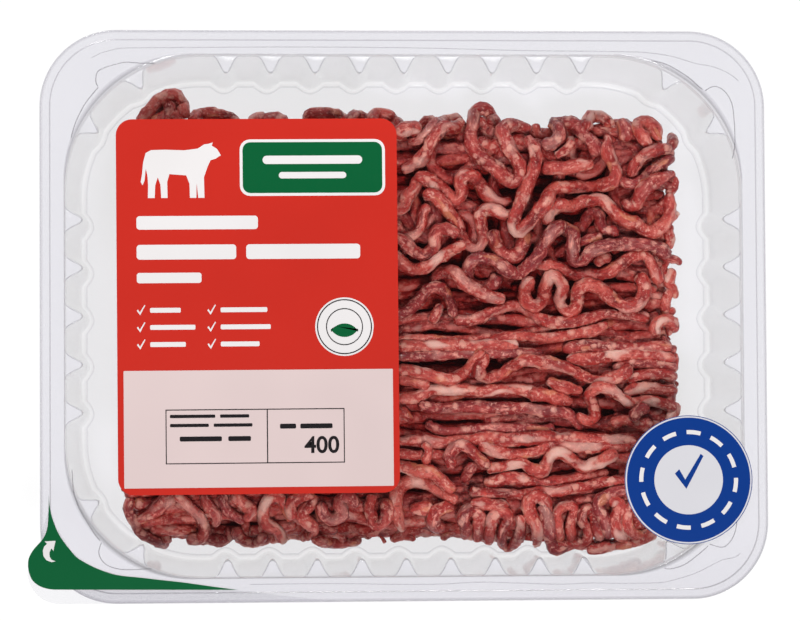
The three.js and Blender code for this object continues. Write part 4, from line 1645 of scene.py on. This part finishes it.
tickShape = [(-1.5, 0.1), (-1.1, 0.5), (-0.55, -0.45), (0.9, 1.9), (1.15, 1.7), (-0.45, -1.3)]
cowShape = [
    (-12.4, 4.6), (-11.2, 6.6), (-9.6, 7.6), (-9.9, 8.6), (-8.6, 8.2), (-7.2, 8.0), (-5.2, 6.7),
    (-1, 6.2), (5, 6.4), (9.2, 6.3), (10.9, 5.4), (11.7, 2.5), (12.1, -1.5), (12.5, -3.6),
    (11.9, -4.6), (11.3, -3.2), (10.9, 0.5), (10.4, -1.5), (10.2, -4.5), (10.3, -8.6), (8.2, -8.6),
    (8.0, -4.6), (7.2, -2.2), (6.4, -4.4), (6.2, -8.6), (4.2, -8.6), (4.3, -3.6), (3.6, -1.2),
    (-1.6, -1.6), (-2.6, -4.2), (-2.7, -8.6), (-4.7, -8.6), (-4.8, -4.0), (-5.3, -8.6), (-7.2, -8.6),
    (-7.1, -2.2), (-8.2, 1.0), (-9.2, 3.1), (-10.6, 3.5)
]

printOn("labelPanel", [bar(0.0, -37.95, 83.4, 36.3, 0.3)], "pale")
printOn("fieldRim", [bar(17.3, 43.0, 45.2, 17.6, 3.2)], "white")
printOn("greenField", [bar(17.3, 43.0, 43.4, 15.8, 2.4)], "green", 2)
fieldBars = [bar(17.3, 45.4, 31, 2.6), bar(17.3, 40.6, 21, 2.0)]
printOn("fieldBars", fieldBars, "white", 3)
cow = [Vector((-x - 23.5, y + 42.3)) for x, y in cowShape[::-1]]  # turned to face right
printOn("cowShape", [cow], "white")
titleBars = [
    bar(-18.6, 26.0, 37.6, 4.2, 1),
    bar(-22.0, 16.9, 30.8, 4.6, 1),
    bar(14.2, 16.9, 35.4, 4.6, 1),
    bar(-27.4, 8.9, 20, 3.2, 0.8),
]
printOn("titleBars", titleBars, "white")

seal = {"middle": (26.8, -6.6), "radius": 9.1, "rings": ((8.2, 8.55), (5.45, 5.75)), "leaf": 4.9}
sealMiddle = Vector(seal["middle"])
printOn("sealDisc", [arcPoints(sealMiddle, seal["radius"], 0, 345, 46)], "white")
sealRings = [(sealMiddle, inner, outer) for inner, outer in seal["rings"]]
ink = printLook["thickness"]
flatRings("sealRings", sealRings, labelTop + ink, ink, finishes["ink"], labelPlace)
sealLeaf = [sealMiddle + Vector((-4.1, -1.5))]
sealLeaf += arcPoints(sealMiddle + Vector((0, -3.9)), seal["leaf"], 150, 30, 14)
sealLeaf += arcPoints(sealMiddle + Vector((0, 1.7)), seal["leaf"], -30, -150, 14)
printOn("sealLeaf", [sealLeaf], "green", 2)

# Two columns of ticks, each with the lengths of the bars beside them
ticked = {"columns": {-36.0: (9.5, 14, 11), -14.2: (14.5, 15.5, 12)}, "top": -1.3, "pitch": 5.3}
ticks = []
tickBars = []
for x, lengths in ticked["columns"].items():
    for row, length in enumerate(lengths):
        y = ticked["top"] - ticked["pitch"] * row
        ticks.append([Vector((x + px, y + py)) for px, py in tickShape])
        tickBars.append(bar(x + 2.6 + length / 2, y + 0.2, length, 1.5, 0.4))
printOn("labelTicks", ticks, "white")
printOn("tickBars", tickBars, "white")

boxLines = [bar(-1.15, y, 55.3, 0.3, 0.02) for y in (-32.0, -48.6)]
boxLines += [bar(x, -40.3, wide, 16.8, 0.02) for x, wide in ((-28.7, 0.3), (26.4, 0.3), (2.6, 0.35))]
printOn("weightBox", boxLines, "ink", 2)
wordBars = [
    bar(-20.5, -34.0, 14, 1.0, 0.3),
    bar(-7.5, -34.0, 9, 1.0, 0.3),
    bar(-21.5, -36.8, 12, 1.0, 0.3),
    bar(-8.0, -36.8, 12, 1.0, 0.3),
    bar(-18.0, -41.0, 13, 1.5, 0.4),
    bar(-6.0, -41.0, 7, 1.5, 0.4),
    bar(9.0, -37.3, 5, 1.5, 0.4),
    bar(17.8, -37.3, 10, 1.5, 0.4),
]
printOn("weightWords", wordBars, "ink", 2)


# A plain number in ink, round a middle point on the label
def makeNumber(name, digits, x, y, height):
    text = bpy.data.curves.new(name, "FONT")
    text.body = digits
    text.size = height
    text.align_x = "CENTER"
    text.align_y = "CENTER"
    text.offset = 0.02 * height
    text.extrude = ink / 2
    holder = bpy.data.objects.new(name, text)
    scene.collection.objects.link(holder)
    graph = bpy.context.evaluated_depsgraph_get()
    mesh = bpy.data.meshes.new_from_object(holder.evaluated_get(graph))
    bpy.data.objects.remove(holder)
    shift = Matrix.Translation((x, y, labelTop + ink * 1.5))
    mesh.transform(Matrix.Scale(mm, 4) @ labelPlace @ shift)
    addPiece(name, mesh, finishes["ink"])


makeNumber("weightNumber", "400", 19.5, -43.4, 7.2)
print("main label ready")

# Round label

roundLabel = {
    "pixel": (688.6, 479.8),
    "thickness": 0.12,
    "rim": 0.22,
    "bandOuter": 19.4,
    "bandInner": 10.8,
    "dashes": {"radius": 14.9, "width": 1.3, "angle": 17, "first": 15, "pitch": 30},
    "tickScale": 3.4,
}
roundLow, roundHigh = boxInMm("round_label")
roundRadius = float(roundHigh[0] - roundLow[0]) / 2
roundPlace = Matrix.Translation((*underPixel(*roundLabel["pixel"], roundLow[2]), 0))
roundTop = roundLow[2] + roundLabel["thickness"]
flatPlate(
    "roundLabel",
    [arcPoints((0, 0), roundRadius, 0, 357, 119)],
    roundLow[2],
    roundLabel["thickness"],
    finishes["sticker"],
    "round_label",
    roundPlace,
)
stickerRings = [
    ((0, 0), roundRadius - roundLabel["rim"], roundRadius - 0.02),
    ((0, 0), roundLabel["bandInner"], roundLabel["bandOuter"]),
]
blue = finishes["blue"]
flatRings("stickerRings", stickerRings, roundTop, ink, blue, roundPlace)


# Part of a flat ring round the middle, between two angles in degrees
def ringSlice(radius, width, start, end):
    outer = arcPoints((0, 0), radius + width / 2, start, end, 8)
    inner = arcPoints((0, 0), radius - width / 2, start, end, 8)
    return outer + inner[::-1]


scale = roundLabel["tickScale"]
bigTick = [Vector((px * scale + 0.8, py * scale + 1.6)) for px, py in tickShape]
printOn("stickerTick", [bigTick], "blue", 1, roundPlace, roundTop)
dashes = roundLabel["dashes"]
stickerBars = [
    ringSlice(dashes["radius"], dashes["width"], start, start + dashes["angle"])
    for start in range(dashes["first"], 360, dashes["pitch"])
]
printOn("stickerBars", stickerBars, "white", 2, roundPlace, roundTop)
print("round label ready")

# Print on the peel tab, and its arrow

tab = {
    "outer": [
        (48.8, 494.9), (48.5, 511), (47.4, 527.2), (43.2, 538.4), (34, 548.9), (29.1, 557.3),
        (28, 564.4), (29.1, 572.8), (32.6, 580.5), (39.6, 586.1), (48.1, 588.9), (56.5, 589.8)
    ],
    "tip": (238, 589.8),
    "inner": [
        (216.4, 587.1), (184.2, 582.6), (157.5, 579.6), (139.3, 577.5), (123.8, 576), (112.6, 574),
        (97.2, 568.6), (84.5, 562.3), (76.8, 557.4), (71.2, 551.2), (64.9, 543.3), (59.3, 534.9),
        (55.1, 526), (51.6, 515.5), (49.5, 505)
    ],
    "arrow": [
        (55.5, 540.8), (53.4, 550.9), (51.3, 548.4), (49.4, 552.4), (49.6, 556.6), (51.6, 559.8),
        (55.6, 561.4), (51.4, 562.2), (46.4, 560.2), (43.4, 556), (42.8, 550.7), (44.2, 546.5),
        (47, 543.9), (44.6, 541.4)
    ],
}


def pixelRoute(pixels, step=0.6):
    return [Vector(p) for p in smoothRoute([underPixel(*pixel, filmTop) for pixel in pixels], step)]


tabShape = pixelRoute(tab["outer"]) + pixelRoute([tab["tip"], *tab["inner"], tab["outer"][0]])[:-1]
flatPlate("tabPrint", [tabShape], filmTop, ink, finishes["green"])
arrow = [Vector(underPixel(*pixel, filmTop + ink)) for pixel in tab["arrow"]]
flatPlate("tabArrow", [arrow], filmTop + ink, ink, finishes["white"])
print("peel tab ready")
